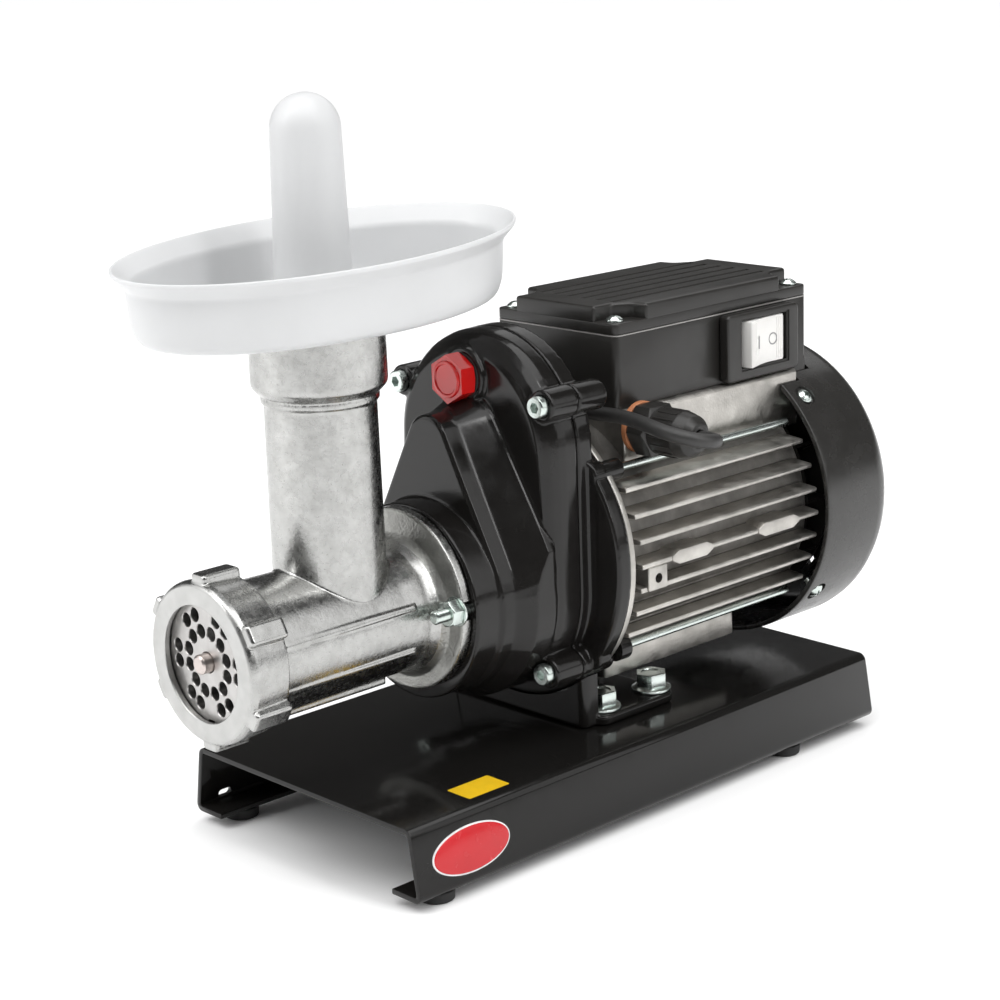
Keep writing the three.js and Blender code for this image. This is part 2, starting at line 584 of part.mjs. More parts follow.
function rotor() {
  const pinionTurn = ((FIRST.pinion * 1) / 4) % 1;
  const wheelGap = ((FIRST.wheel * 3) / 4) % 1;
  return join(
    gear({ teeth: FIRST.pinion, module: FIRST.module, turn: pinionTurn - wheelGap + 0.5 }, -1, 9, MOTOR_Z),
    turned([[8.4, 0], [8.4, ROTOR.shaftR], [ROTOR.front, ROTOR.shaftR], [ROTOR.front, ROTOR.r],
      [ROTOR.rear, ROTOR.r], [ROTOR.rear, ROTOR.shaftR], [166, ROTOR.shaftR - 1.5], [166, 0]],
    'y', 0, MOTOR_Z, 24),
  );
}

add('gearbox_cover', gearboxCover(), blackPaint);
add('gearbox_housing', gearboxHousing(), blackPaint);
CASE_BOLTS.forEach((place, i) => add(`gearbox_screw_${i + 1}`, caseScrew(place), zinc));
add('oil_plug', oilPlug(), redPlastic);
add('output_gear', outputGear(), steel);
add('output_bearing', tube(-50.6, CASE.front - 1, 20, 12 + GAP, 'y', 0, HEAD_Z, 28), steel);
add('layshaft', layshaft(), steel);
add('rotor', rotor(), steel);
add('rotor_bearing', tube(CASE.rear - 4, CASE.rear + 7, 15, ROTOR.shaftR + GAP, 'y', 0, MOTOR_Z, 24), steel);

// ---- motor --------------------------------------------------------------------------------------
// half of the frame's outline: a round body with level cooling fins whose tips lie on a circle
function frameSide() {
  const points = [];
  const onBody = (dz) => Math.sqrt(FRAME.r ** 2 - dz ** 2);
  const first = -Math.floor(FRAME.fins / 2);
  for (const degrees of [-90, -78, -66, -54, -45]) points.push(polar(FRAME.r, degrees));
  for (let i = 0; i < FRAME.fins; i++) {
    const dz = (first + i) * FRAME.finPitch;
    const half = FRAME.fin / 2;
    const tip = Math.sqrt(FRAME.finTipR ** 2 - (Math.abs(dz) + half) ** 2);
    points.push([onBody(dz - half - 0.8), dz - half - 0.8], [tip, dz - half * 0.7]);
    points.push([tip, dz + half * 0.7], [onBody(dz + half + 0.8), dz + half + 0.8]);
  }
  for (const degrees of [45, 54, 66, 78, 90]) points.push(polar(FRAME.r, degrees));
  return points;
}

function motorFrame() {
  const { front, rear, r, bore, finTipR } = FRAME;
  const half = frameSide();
  const section = [...half, ...half.slice(1, -1).reverse().map(([x, dz]) => [-x, dz])];
  const finned = slab(outline(section.map(([x, dz]) => [x, dz + MOTOR_Z])), front + 6.6, rear - 2.6);
  const ends = rod(front, rear, r, 'y', 0, MOTOR_Z, 30);
  const frontRim = rod(front, front + 3.4, finTipR - 1, 'y', 0, MOTOR_Z, 30);
  const topPad = block(-PAD.half, PAD.half, PAD.front, PAD.rear, MOTOR_Z + 36, PAD.top);
  const footPad = block(-30, 30, front + 20, rear - 20, MOTOR_Z - r - 5, MOTOR_Z - 50);
  const earth = block(52, 66, 24, 36, MOTOR_Z - 14, MOTOR_Z - 1);
  const pads = [[42, 63], [100, 123]].flatMap(([y0, y1]) =>
    [1, -1].map((side) => block(side * 61 - 6, side * 61 + 6, y0, y1, MOTOR_Z - 3, MOTOR_Z + 3)));
  const rods = [1, -1].flatMap((sx) => [1, -1].map((sz) =>
    rod(front - 1, front + 5, TIE_ROD.r + 0.5, 'y', sx * TIE_ROD.x, MOTOR_Z + sz * TIE_ROD.dz, 8)));
  const bosses = CASE_BOLTS.map(([x, z, end]) => rod(front - 1, end + GAP, CASE_BOLT.bossR + GAP, 'y', x, z, 12));
  return cut(
    join(ends, finned, frontRim, topPad, footPad, earth, ...pads),
    rod(front - 1, rear + 1, bore, 'y', 0, MOTOR_Z, 30),
    rod(rear - 1, PAD.rear + 1, FRAME.r - 3, 'y', 0, MOTOR_Z, 28),
    rod(40, 68, 2.2, 'x', 30, MOTOR_Z - 7.5, 10),
    rod(30, 60, 6, 'x', GLAND.y, GLAND.z, 14),
    block(-26, 26, PAD.front + 12, PAD.rear - 40, MOTOR_Z + 40, PAD.top + 1),
    ...rods,
    ...bosses,
  );
}

function stator() {
  return turned([
    [20, 34], [20, 44], [30, 45], [36, 45], [36, FRAME.bore - GAP], [104, FRAME.bore - GAP], [104, 45],
    [110, 45], [120, 44], [120, 34], [110, ROTOR.r + 1], [30, ROTOR.r + 1], [20, 34],
  ], 'y', 0, MOTOR_Z, 24);
}

function rearShield() {
  const edge = FRAME.bore - GAP;
  return turned([
    [128, ROTOR.shaftR + 0.5], [128, 18], [134, 20], [134, edge], [FRAME.rear - 0.4, edge],
    [FRAME.rear - 0.4, ROTOR.shaftR + 0.5], [128, ROTOR.shaftR + 0.5],
  ], 'y', 0, MOTOR_Z, 26);
}

function coolingFan() {
  const hub = tube(148, 164, 12, ROTOR.shaftR + GAP, 'y', 0, MOTOR_Z, 20);
  const disc = tube(148, 150.4, 53.6, ROTOR.shaftR + GAP, 'y', 0, MOTOR_Z, 24);
  const blades = [];
  for (let i = 0; i < 8; i++) {
    const blade = new THREE.BoxGeometry(43, 18, 2).translate(32, 158, 0);
    blades.push(solid(blade.rotateY((i * TURN) / 8).translate(0, 0, MOTOR_Z)));
  }
  const bore = rod(140, 180, ROTOR.shaftR + GAP, 'y', 0, MOTOR_Z, 20);
  return cut(join(hub, disc, ...blades), bore);
}

function fanCover() {
  const { front, rear, r, round, rearR, wall, slots } = FAN_COVER;
  const shell = turned([
    [front, r - wall], [front, r], [round, r], [round + 3, r - 0.7], [rear - 1.6, r - 2.6], [rear, rearR],
    [rear, 9], [rear - wall, 9], [rear - wall, rearR - 1], [round + 1, r - wall - 0.7], [round - 2, r - wall],
    [front, r - wall],
  ], 'y', 0, MOTOR_Z, 30);
  const hub = tube(rear - wall, rear, 12, 4, 'y', 0, MOTOR_Z, 20);
  const vents = [];
  for (let i = 0; i < slots; i++) {
    const slot = new THREE.BoxGeometry(34, 10, 4).translate(36, rear, 0);
    vents.push(solid(slot.rotateY(((i + 0.5) * TURN) / slots).translate(0, 0, MOTOR_Z)));
  }
  const boxGap = block(-PAD.half - 1, PAD.half + 1, front - 1, BOX.rear + 1, BOX.leg - 1, 250);
  return cut(join(shell, hub), ...vents, boxGap);
}

// screws that point at the motor's axis
function fanCoverScrew(degrees) {
  const { r, wall } = FAN_COVER;
  const screw = new THREE.LatheGeometry([[0, r - 8], [2, r - 8], [2, r + GAP], [4, r + GAP], [3.6, r + 1.6],
    [2, r + 2.4], [0, r + 2.4]].map(([x, y]) => new THREE.Vector2(x, y)), 14);
  const angle = (degrees * TURN) / 360;
  return solid(screw.rotateZ(-Math.PI / 2).rotateY(-angle).translate(0, FAN_COVER.front + 4 * wall, MOTOR_Z));
}

const SCREW_ANGLES = [46, 134, -38, -142];
add('motor_frame', motorFrame(), frameAluminium);
add('stator', stator(), copper);
add('rear_shield', rearShield(), frameAluminium);
add('cooling_fan', coolingFan(), blackPlastic);
const screwHole = (degrees) => {
  const [x, z] = polar(FAN_COVER.r + 6, degrees);
  const place = new THREE.CylinderGeometry(2.3, 2.3, 24, 12).rotateZ(-Math.PI / 2);
  place.rotateY((-degrees * TURN) / 360).translate(x, FAN_COVER.front + 4 * FAN_COVER.wall, MOTOR_Z + z);
  return solid(place);
};
add('fan_cover', cut(fanCover(), ...SCREW_ANGLES.map(screwHole)), blackPlastic);
SCREW_ANGLES.forEach((degrees, i) => add(`fan_cover_screw_${i + 1}`, fanCoverScrew(degrees), zinc));
let rodNumber = 0;
for (const sx of [1, -1]) {
  for (const sz of [1, -1]) {
    rodNumber += 1;
    const start = sz > 0 ? CASE.rear - 3.6 : CASE_BOLTS[2][2] + GAP;
    const tie = rod(start, TIE_ROD.rear, TIE_ROD.r, 'y', sx * TIE_ROD.x, MOTOR_Z + sz * TIE_ROD.dz, 8);
    add(`tie_rod_${rodNumber}`, tie, zinc);
  }
}

// ---- terminal box -------------------------------------------------------------------------------
function terminalBox() {
  const { half, front, rear, bottom, seam, wall, leg } = BOX;
  const outer = block(-half, half, front, rear, bottom, seam);
  const legs = block(-half, half, PAD.rear + GAP, rear, leg, bottom + 1);
  const hollow = block(-half + wall, half - wall, front + wall, rear - wall, bottom + wall, seam + 1);
  const wires = block(-20, 20, PAD.front + 16, PAD.rear - 60, bottom - 1, bottom + wall + 1);
  const opening = block(half - wall - 1, half + 1, SWITCH.front + 6, SWITCH.rear - 6, SWITCH.bottom + 6,
    SWITCH.top - 4);
  const fanRoom = rod(PAD.rear, rear + 1, FRAME.r - 3, 'y', 0, MOTOR_Z, 26);
  return cut(join(outer, legs), hollow, wires, opening, fanRoom);
}

function lidScrewPlaces() {
  const inset = 6.4;
  return [1, -1].flatMap((side) => [[side * (BOX.half - inset), BOX.front + inset],
    [side * (BOX.half - inset), BOX.rear - inset]]);
}

function terminalLid() {
  const { half, front, rear, seam, wall } = BOX;
  const z0 = seam + GAP;
  const { shoulder, top, notchX, notchY, grooves } = LID;
  const slope = 3;
  const raised = outline([
    [half - notchX, front], [half - notchX, front + notchY * 0.6], [half - notchX + slope, front + notchY],
    [half, front + notchY], [half, rear - notchY], [half - notchX + slope, rear - notchY],
    [half - notchX, rear - notchY * 0.6], [half - notchX, rear],
    [-half + notchX, rear], [-half + notchX, rear - notchY * 0.6], [-half + notchX - slope, rear - notchY],
    [-half, rear - notchY], [-half, front + notchY], [-half + notchX - slope, front + notchY],
    [-half + notchX, front + notchY * 0.6], [-half + notchX, front],
  ]);
  const cuts = [block(-half + 14, half - 14, front + wall, rear - wall, z0 - 1, shoulder + 4)];
  for (let i = 0; i < grooves; i++) {
    const x = (i - (grooves - 1) / 2) * 9;
    cuts.push(block(x - 1, x + 1, front + 20, rear - 20, top - 1.4, top + 1));
  }
  for (const [x, y] of lidScrewPlaces()) cuts.push(rod(z0 - 1, shoulder + 1, 2.3, 'z', x, y, 10));
  return cut(join(block(-half, half, front, rear, z0, shoulder), layer(raised, shoulder - 1, top)), ...cuts);
}

function lidScrew([x, y]) {
  const seat = LID.shoulder + GAP;
  return turned([[BOX.seam + 1, 0], [BOX.seam + 1, 2], [seat, 2], [seat, 4], [seat + 1.6, 3.6], [seat + 2.4, 2.2],
    [seat + 2.4, 0]], 'z', x, y, 10);
}

function switchBody() {
  const { front, rear, bottom, top, out } = SWITCH;
  const x0 = BOX.half + GAP;
  const bezel = block(x0, x0 + out, front, rear, bottom + 1, top);
  const body = block(BOX.half - 16, x0 + 1, front + 6.5, rear - 6.5, bottom + 6.5, top - 4.5);
  const pocket = block(x0 - 11, x0 + out + 1, ROCKER.front - 1, ROCKER.rear + 1, ROCKER.bottom - GAP,
    ROCKER.top + GAP);
  return cut(join(bezel, body), pocket);
}

// a rocker on an upright pivot, with its front end standing out
function switchRocker() {
  const { front, rear, bottom, top, lift, turn } = ROCKER;
  const middle = (front + rear) / 2;
  const half = (rear - front) / 2 - 1.6;
  const x = BOX.half + SWITCH.out + GAP;
  const shape = outline([[-lift, -half], [1.2, -half], [-0.6, 0], [1.2, half], [-lift, half], [-9, 3], [-9, -3]]);
  const rocker = new THREE.ExtrudeGeometry(shape, { depth: top - bottom, bevelEnabled: false });
  return solid(rocker.rotateZ((turn * TURN) / 360).translate(x, middle, bottom));
}

add('terminal_box', terminalBox(), blackPlastic);
add('terminal_lid', terminalLid(), blackPlastic);
lidScrewPlaces().forEach((place, i) => add(`lid_screw_${i + 1}`, lidScrew(place), zinc));
add('switch_body', switchBody(), blackPlastic);
add('switch_rocker', switchRocker(), whitePlastic);
add('capacitor', rod(BOX.front + 5, BOX.front + 58, 13, 'y', -18, BOX.bottom + 17.5, 24), whitePlastic);

// ---- mains lead ---------------------------------------------------------------------------------
function cableGland() {
  const x0 = PAD.half + 3.4;
  const { nutR, domeR, out, y, z } = GLAND;
  const nut = turned([[x0, 0], [x0, nutR], [x0 + 11, nutR], [x0 + 11, 0]], 'x', y, z, 6, TURN / 12);
  const dome = turned([[x0 + 10, 0], [x0 + 10, domeR], [out - 6, domeR], [out - 2, domeR - 1.6], [out, domeR - 4],
    [out, 0]], 'x', y, z, 20);
  const stem = rod(PAD.half - 8, x0 + 1, 5.4, 'x', y, z, 14);
  return cut(join(nut, dome, stem), rod(PAD.half - 9, out + 1, CORD_D / 2 - 0.6, 'x', y, z, 12));
}

// the lead turns back over the motor and goes down behind it to the table
const LEAD = [
  [79.2, 46.4, 168], [85.4, 45.8, 168.4], [91, 42.4, 169.3], [94.4, 36.6, 170.6], [94, 30.2, 172], [90, 25.2, 173.4],
  [83, 22.6, 174.8], [74, 22.4, 176], [64, 24.2, 176.8], [52, 26.4, 177], [38, 27.2, 176.4], [20, 27.4, 175.2],
  [0, 27.4, 174.7], [-20, 27.4, 174.7], [-38, 27.8, 173.4], [-52, 29, 168.6], [-64, 31.2, 159], [-73.6, 34.4, 145],
  [-80.4, 38.4, 128], [-85.4, 43, 108], [-89, 48, 86], [-92, 53.6, 64], [-95.4, 59.4, 43], [-100.4, 65.4, 25],
  [-108, 71.6, 11.6], [-118, 77.6, 5.2], [-130, 81.4, 3.6], [-142, 83.4, 3.3], [-154, 86, 3.3],
];
const COIL = { x: -140, y: 133, r: 35, tubeR: 9.6 };
const PLUG = { x: -140, y: 199, z: 19 };

function powerCord() {
  const curve = new THREE.CatmullRomCurve3(LEAD.map(([x, y, z]) => new THREE.Vector3(x, y, z)));
  const section = new THREE.Shape();
  for (let i = 0; i < 8; i++) {
    const [x, y] = polar(CORD_D / 2, i * 45);
    if (i === 0) section.moveTo(x, y);
    else section.lineTo(x, y);
  }
  return solid(new THREE.ExtrudeGeometry(section, { steps: 52, extrudePath: curve, bevelEnabled: false }));
}

function cordCoil() {
  const { x, y, r, tubeR } = COIL;
  const profile = [];
  for (let i = 0; i <= 8; i++) {
    const [dr, dz] = polar(tubeR, i * 45 + 22.5);
    profile.push([Math.max(dz + tubeR * 0.93, 0.1), r + dr]);
  }
  return turned(profile, 'z', x, y, 24);
}

function mainsPlug() {
  const { x, y, z } = PLUG;
  const body = turned([[x, 0], [x, 4.5], [x + 10, 5], [x + 16, 12], [x + 26, 18], [x + 36, 18.6], [x + 38, 18],
    [x + 38, 0]], 'x', y, z, 20);
  const pins = [-9.5, 9.5].map((dy) => rod(x + 37, x + 57, 2.4, 'x', y + dy, z, 8));
  return join(body, ...pins);
}

add('cable_gland', cableGland(), blackPlastic);
add('gland_washer', tube(PAD.half + GAP, PAD.half + 3.1, 11.6, 5.9, 'x', GLAND.y, GLAND.z, 20), brass);
add('power_cord', powerCord(), blackPlastic);
add('cord_coil', cordCoil(), blackPlastic);
add('mains_plug', mainsPlug(), blackPlastic);

export default grinder;
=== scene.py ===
"""The electric meat grinder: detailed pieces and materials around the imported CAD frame."""
import bpy
import bmesh
import json
import math
from mathutils import Matrix, Vector


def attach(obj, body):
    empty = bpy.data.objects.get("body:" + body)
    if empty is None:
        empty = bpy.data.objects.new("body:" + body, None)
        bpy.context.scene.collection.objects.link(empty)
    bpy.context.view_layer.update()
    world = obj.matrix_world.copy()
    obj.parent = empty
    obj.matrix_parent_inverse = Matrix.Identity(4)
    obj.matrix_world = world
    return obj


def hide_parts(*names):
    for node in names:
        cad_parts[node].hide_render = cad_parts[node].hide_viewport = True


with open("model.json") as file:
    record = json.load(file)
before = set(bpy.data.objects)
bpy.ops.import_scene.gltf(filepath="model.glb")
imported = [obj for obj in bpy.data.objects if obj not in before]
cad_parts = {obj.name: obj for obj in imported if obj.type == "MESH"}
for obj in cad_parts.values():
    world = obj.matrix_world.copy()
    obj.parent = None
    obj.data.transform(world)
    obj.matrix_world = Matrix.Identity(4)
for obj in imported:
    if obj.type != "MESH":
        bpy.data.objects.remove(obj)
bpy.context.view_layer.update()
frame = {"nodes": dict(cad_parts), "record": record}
SCENE = bpy.context.scene
TURN = math.tau

# ---- sizes shared with the CAD model, in millimetres --------------------------------------------
HEAD_Z, MOTOR_Z, LAYSHAFT_Z = 102.6, 113.1, 165.6
NECK_Y, TRAY_Y = -98.6, -93.6
FLANGE_UP = 2.4
GLAND_Y, GLAND_Z = 46.4, 168
OIL_Z = 196.4
STUD_X, STUD_Z = 37.0, 107.0
CASE_BOLTS = [(44.7, 188.2, 18), (-44.7, 188.2, 18), (43.4, 69, 20), (-43.4, 69, 20)]


# ---- camera and light ---------------------------------------------------------------------------
def look(azimuth, elevation, roll=0.0):
    a, e, r = (math.radians(v) for v in (azimuth, elevation, roll))
    back = Vector((math.sin(a) * math.cos(e), -math.cos(a) * math.cos(e), math.sin(e)))
    right = Vector((math.cos(a), math.sin(a), 0))
    up = back.cross(right)
    x = math.cos(r) * right + math.sin(r) * up
    y = -math.sin(r) * right + math.cos(r) * up
    return Matrix((x, y, back)).transposed()


def add_camera():
    data = bpy.data.cameras.new("camera")
    data.lens = 82.55
    data.sensor_width = 36
    data.clip_start, data.clip_end = 0.05, 60
    camera = bpy.data.objects.new("camera", data)
    turn = look(47.132, 14.778, -2.051)
    target = Vector((0, 0.000135, 0.136564))
    camera.matrix_world = Matrix.Translation(target + turn.col[2] * 1.024054) @ turn.to_4x4()
    SCENE.collection.objects.link(camera)
    SCENE.camera = camera


def softbox(name, azimuth, elevation, distance, width, height, radiance, tint=(1, 1, 1)):
    data = bpy.data.lights.new(name, "AREA")
    data.shape = "RECTANGLE"
    data.size, data.size_y = width, height
    data.energy = radiance * math.pi * width * height
    data.color = tint
    light = bpy.data.objects.new(name, data)
    turn = look(azimuth, elevation)
    light.matrix_world = Matrix.Translation(Vector((0, 0, 0.14)) + turn.col[2] * distance) @ turn.to_4x4()
    SCENE.collection.objects.link(light)


def add_light():
    softbox("left_softbox", -42, 24, 1.7, 1.0, 1.5, 1.5)
    softbox("left_strip", -22, 34, 1.6, 0.22, 1.3, 8)
    softbox("right_softbox", 118, 26, 1.8, 1.1, 1.5, 1.4)
    softbox("right_strip", 92, 38, 1.7, 0.25, 1.2, 7)
    softbox("back_softbox", 205, 40, 2.2, 1.4, 1.0, 1.0)
    data = bpy.data.lights.new("overhead", "SUN")
    data.energy, data.angle = 2.85, math.radians(70)
    sun = bpy.data.objects.new("overhead", data)
    sun.rotation_euler = (math.radians(8), math.radians(6), 0)
    SCENE.collection.objects.link(sun)
    world = bpy.data.worlds.new("studio")
    world.use_nodes = True
    nodes, links = world.node_tree.nodes, world.node_tree.links
    nodes.clear()
    out = nodes.new("ShaderNodeOutputWorld")
    path = nodes.new("ShaderNodeLightPath")
    last = None
    for name, level in (("diffuse", 0.24), ("Is Glossy Ray", 0.08), ("Is Camera Ray", 1.0)):
        shade = nodes.new("ShaderNodeBackground")
        shade.inputs["Color"].default_value = (level, level, level, 1)
        if last is None:
            last = shade.outputs[0]
            continue
        mix = nodes.new("ShaderNodeMixShader")
        links.new(path.outputs[name], mix.inputs[0])
        links.new(last, mix.inputs[1])
        links.new(shade.outputs[0], mix.inputs[2])
        last = mix.outputs[0]
    links.new(last, out.inputs[0])
    SCENE.world = world
    SCENE.view_settings.view_transform = "Standard"


# ---- materials ----------------------------------------------------------------------------------
def material(name, color, rough, metal=0.0, other=None, patch=40, spread=0.05, grain=500, dimple=0.0,
             depth=0.05, scratch=None, fixed=None):
    """Two tones in soft patches, roughness that varies, and a bump of dimples or of brushed lines."""
    m = bpy.data.materials.new(name)
    m.use_nodes = True
    nodes, links = m.node_tree.nodes, m.node_tree.links
    shader = nodes["Principled BSDF"]
    shader.inputs["Metallic"].default_value = metal
    for key, value in (fixed or {}).items():
        shader.inputs[key].default_value = value
    place = nodes.new("ShaderNodeTexCoord").outputs["Object"]

    def noise(scale, detail, stretch=(1, 1, 1)):
        spot = nodes.new("ShaderNodeMapping")
        spot.inputs["Scale"].default_value = stretch
        links.new(place, spot.inputs["Vector"])
        made = nodes.new("ShaderNodeTexNoise")
        made.inputs["Scale"].default_value = scale
        made.inputs["Detail"].default_value = detail
        links.new(spot.outputs[0], made.inputs["Vector"])
        return made.outputs[0]

    def spread_to(value, low, high):
        made = nodes.new("ShaderNodeMapRange")
        made.inputs["From Min"].default_value, made.inputs["From Max"].default_value = 0.3, 0.7
        made.inputs["To Min"].default_value, made.inputs["To Max"].default_value = low, high
        links.new(value, made.inputs["Value"])
        return made.outputs[0]

    tone = nodes.new("ShaderNodeMix")
    tone.data_type = "RGBA"
    tone.inputs[6].default_value = (*color, 1)
    tone.inputs[7].default_value = (*(other or [c * 0.8 for c in color]), 1)
    links.new(spread_to(noise(patch, 5), 0, 1), tone.inputs[0])
    links.new(tone.outputs[2], shader.inputs["Base Color"])
    links.new(spread_to(noise(patch * 2.7, 6), max(rough - spread, 0.02), min(rough + spread, 1)),
              shader.inputs["Roughness"])
    if dimple or scratch:
        bump = nodes.new("ShaderNodeBump")
        bump.inputs["Strength"].default_value = dimple or 0.3
        bump.inputs["Distance"].default_value = depth / 1000
        links.new(noise(grain, 3, scratch or (1, 1, 1)), bump.inputs["Height"])
        links.new(bump.outputs[0], shader.inputs["Normal"])
    return m


MAT = {
    "black_paint": material("black_paint", (0.008, 0.0074, 0.0069), 0.17, other=(0.011, 0.0102, 0.0095),
                            grain=260, dimple=0.16, depth=0.12, fixed={"Specular IOR Level": 0.34}),
    "base_paint": material("base_paint", (0.0085, 0.008, 0.0074), 0.14, other=(0.0095, 0.009, 0.0085),
                           grain=330, dimple=0.1, depth=0.06, fixed={"Specular IOR Level": 0.28}),
    "black_plastic": material("black_plastic", (0.015, 0.014, 0.0128), 0.34, other=(0.02, 0.0188, 0.0172),
                              grain=1500, dimple=0.12, depth=0.03, fixed={"Specular IOR Level": 0.42}),
    "fan_plastic": material("fan_plastic", (0.018, 0.0172, 0.016), 0.26, other=(0.023, 0.022, 0.0205),
                            grain=1300, dimple=0.1, depth=0.03, fixed={"Specular IOR Level": 0.55}),
    "rubber": material("rubber", (0.012, 0.012, 0.012), 0.75, other=(0.02, 0.02, 0.02), grain=1400,
                       dimple=0.3),
    "cast": material("cast", (0.45, 0.45, 0.44), 0.25, 1.0, other=(0.36, 0.36, 0.35), patch=150, spread=0.07,
                     grain=900, dimple=0.38, depth=0.13),
    "rough_cast": material("rough_cast", (0.42, 0.42, 0.4), 0.42, 1.0, other=(0.3, 0.3, 0.285), patch=120,
                           spread=0.08, grain=800, dimple=0.9, depth=0.4),
    "machined": material("machined", (0.49, 0.49, 0.48), 0.34, 1.0, other=(0.42, 0.42, 0.41), patch=120,
                         spread=0.05, grain=900, dimple=0.22, depth=0.05, scratch=(0.3, 3, 0.3)),
    "plate_steel": material("plate_steel", (0.5, 0.49, 0.48), 0.36, 1.0, other=(0.42, 0.41, 0.4), patch=150,
                            grain=1200, dimple=0.25, depth=0.03),
    "pin_steel": material("pin_steel", (0.62, 0.55, 0.52), 0.3, 1.0, grain=1500, dimple=0.2, depth=0.02),
    "steel": material("steel", (0.5, 0.5, 0.5), 0.3, 1.0, grain=900, dimple=0.2, depth=0.03),
    "zinc": material("zinc", (0.66, 0.71, 0.69), 0.24, 1.0, other=(0.56, 0.63, 0.59), patch=70, spread=0.05,
                     grain=1500, dimple=0.15, depth=0.02),
    "frame_cast": material("frame_cast", (0.6, 0.58, 0.545), 0.4, 1.0, other=(0.4, 0.385, 0.36), patch=70,
                           spread=0.1, grain=850, dimple=0.8, depth=0.18),
    # frame_valley_shade: a darker copy of the frame metal, painted shade for the body between the fins
    "frame_valley_shade": material("frame_valley_shade", (0.26, 0.25, 0.235), 0.55, 1.0, other=(0.17, 0.163, 0.152),
                             patch=90, spread=0.1, grain=850, dimple=0.8, depth=0.18),
    "white_plastic": material("white_plastic", (0.6, 0.605, 0.61), 0.36, other=(0.58, 0.585, 0.59),
                              grain=900, dimple=0.08, depth=0.03,
                              fixed={"Specular IOR Level": 0.35, "Subsurface Weight": 0.2,
                                     "Subsurface Radius": (0.004, 0.004, 0.004), "Subsurface Scale": 1.0}),
    "rocker_white": material("rocker_white", (0.76, 0.75, 0.73), 0.3, other=(0.7, 0.69, 0.67), grain=1500,
                             dimple=0.1, depth=0.02),
    "mark_grey": material("mark_grey", (0.3, 0.3, 0.3), 0.5, patch=400),
    "red_plastic": material("red_plastic", (0.54, 0.008, 0.007), 0.22, other=(0.47, 0.006, 0.006), patch=90,
                            grain=800, dimple=0.1, depth=0.03, fixed={"Coat Weight": 0.3}),
    "badge_red": material("badge_red", (0.54, 0.01, 0.017), 0.24, other=(0.5, 0.009, 0.014), patch=90,
                          grain=900, dimple=0.05, depth=0.02),
    "label_yellow": material("label_yellow", (0.8, 0.5, 0.01), 0.45, other=(0.72, 0.45, 0.01), patch=200,
                             grain=1500, dimple=0.06, depth=0.02),
    # seam_highlight_grey: a mid grey strip colour, a painted highlight for the bright line at the lid seam
    "seam_highlight_grey": material("seam_highlight_grey", (0.3, 0.29, 0.28), 0.35, patch=200, grain=1500, dimple=0.05,
                          depth=0.02),
    "label_white": material("label_white", (0.8, 0.8, 0.8), 0.4, patch=200, grain=1500, dimple=0.05,
                            depth=0.02),
    "copper": material("copper", (0.5, 0.2, 0.08), 0.4, 0.8, patch=120, grain=900, dimple=0.3,
                       scratch=(1, 1, 6)),
    "fibre": material("fibre", (0.5, 0.2, 0.09), 0.6, other=(0.42, 0.15, 0.06), patch=300, grain=1500,
                      dimple=0.3),
    "cable": material("cable", (0.022, 0.0215, 0.021), 0.46, other=(0.028, 0.027, 0.026), patch=120,
                      grain=1400, dimple=0.15, depth=0.03),
    "plug_brass": material("plug_brass", (0.72, 0.7, 0.62), 0.25, 1.0, patch=200, grain=1200, dimple=0.1),
    "floor": material("floor", (0.96, 0.96, 0.96), 0.8, other=(0.95, 0.95, 0.95), patch=3, grain=60,
                      dimple=0.02),
}

SLOT_MATERIAL = {
    "black_paint": "black_paint", "rubber": "rubber", "zinc": "zinc", "cast_aluminium": "cast",
    "steel": "steel", "frame_aluminium": "frame_cast", "windings": "copper",
    "black_plastic": "black_plastic", "white_plastic": "white_plastic", "red_plastic": "red_plastic",
    "fibre": "fibre", "cable": "cable",
}
BODY_OF = {node: body for body, nodes in frame["record"]["behaviour"]["bodies"].items() for node in nodes}
SLOT_OF = {s["node"]: s["material_slot"] for s in frame["record"]["subparts"]}

for node, thing in frame["nodes"].items():
    thing.data.materials.clear()
    thing.data.materials.append(MAT[SLOT_MATERIAL[SLOT_OF[node]]])


# ---- mesh building: everything below is given in millimetres -----------------------------------
def piece(name, verts, faces, mat, sharp=38):
    mesh = bpy.data.meshes.new(name)
    mesh.from_pydata([Vector(v) / 1000 for v in verts], [], faces)
    mesh.materials.append(MAT[mat])
    made = bpy.data.objects.new(name, mesh)
    SCENE.collection.objects.link(made)
    tidy(made, sharp)
    return made


def tidy(thing, sharp=38):
    """Outward normals, and smooth shading with sharp edges."""
    bm = bmesh.new()
    bm.from_mesh(thing.data)
    bmesh.ops.remove_doubles(bm, verts=bm.verts, dist=1e-6)
    bmesh.ops.recalc_face_normals(bm, faces=bm.faces)
    bm.to_mesh(thing.data)
    bm.free()
    for face in thing.data.polygons:
        face.use_smooth = True
    thing.data.set_sharp_from_angle(angle=math.radians(sharp))


def settle(thing):
    """Applies the modifiers."""
    bpy.context.view_layer.update()
    mesh = bpy.data.meshes.new_from_object(thing.evaluated_get(bpy.context.evaluated_depsgraph_get()))
    thing.modifiers.clear()
    old = thing.data
    thing.data = mesh
    bpy.data.meshes.remove(old)
    return thing


def joined(things, name=None):
    """One object that holds all their faces, each with its own material."""
    first, rest = things[0], things[1:]
    mats = list(first.data.materials)
    bm = bmesh.new()
    bm.from_mesh(first.data)
    for thing in rest:
        start = len(bm.faces)
        bm.from_mesh(thing.data)
        bm.faces.ensure_lookup_table()
        places = []
        for mat in thing.data.materials:
            if mat not in mats:
                mats.append(mat)
            places.append(mats.index(mat))
        for k in range(start, len(bm.faces)):
            bm.faces[k].material_index = places[bm.faces[k].material_index]
        bpy.data.objects.remove(thing)
    for mat in mats[len(first.data.materials):]:
        first.data.materials.append(mat)
    bm.to_mesh(first.data)
    bm.free()
    if name:
        first.name = first.data.name = name
    return first


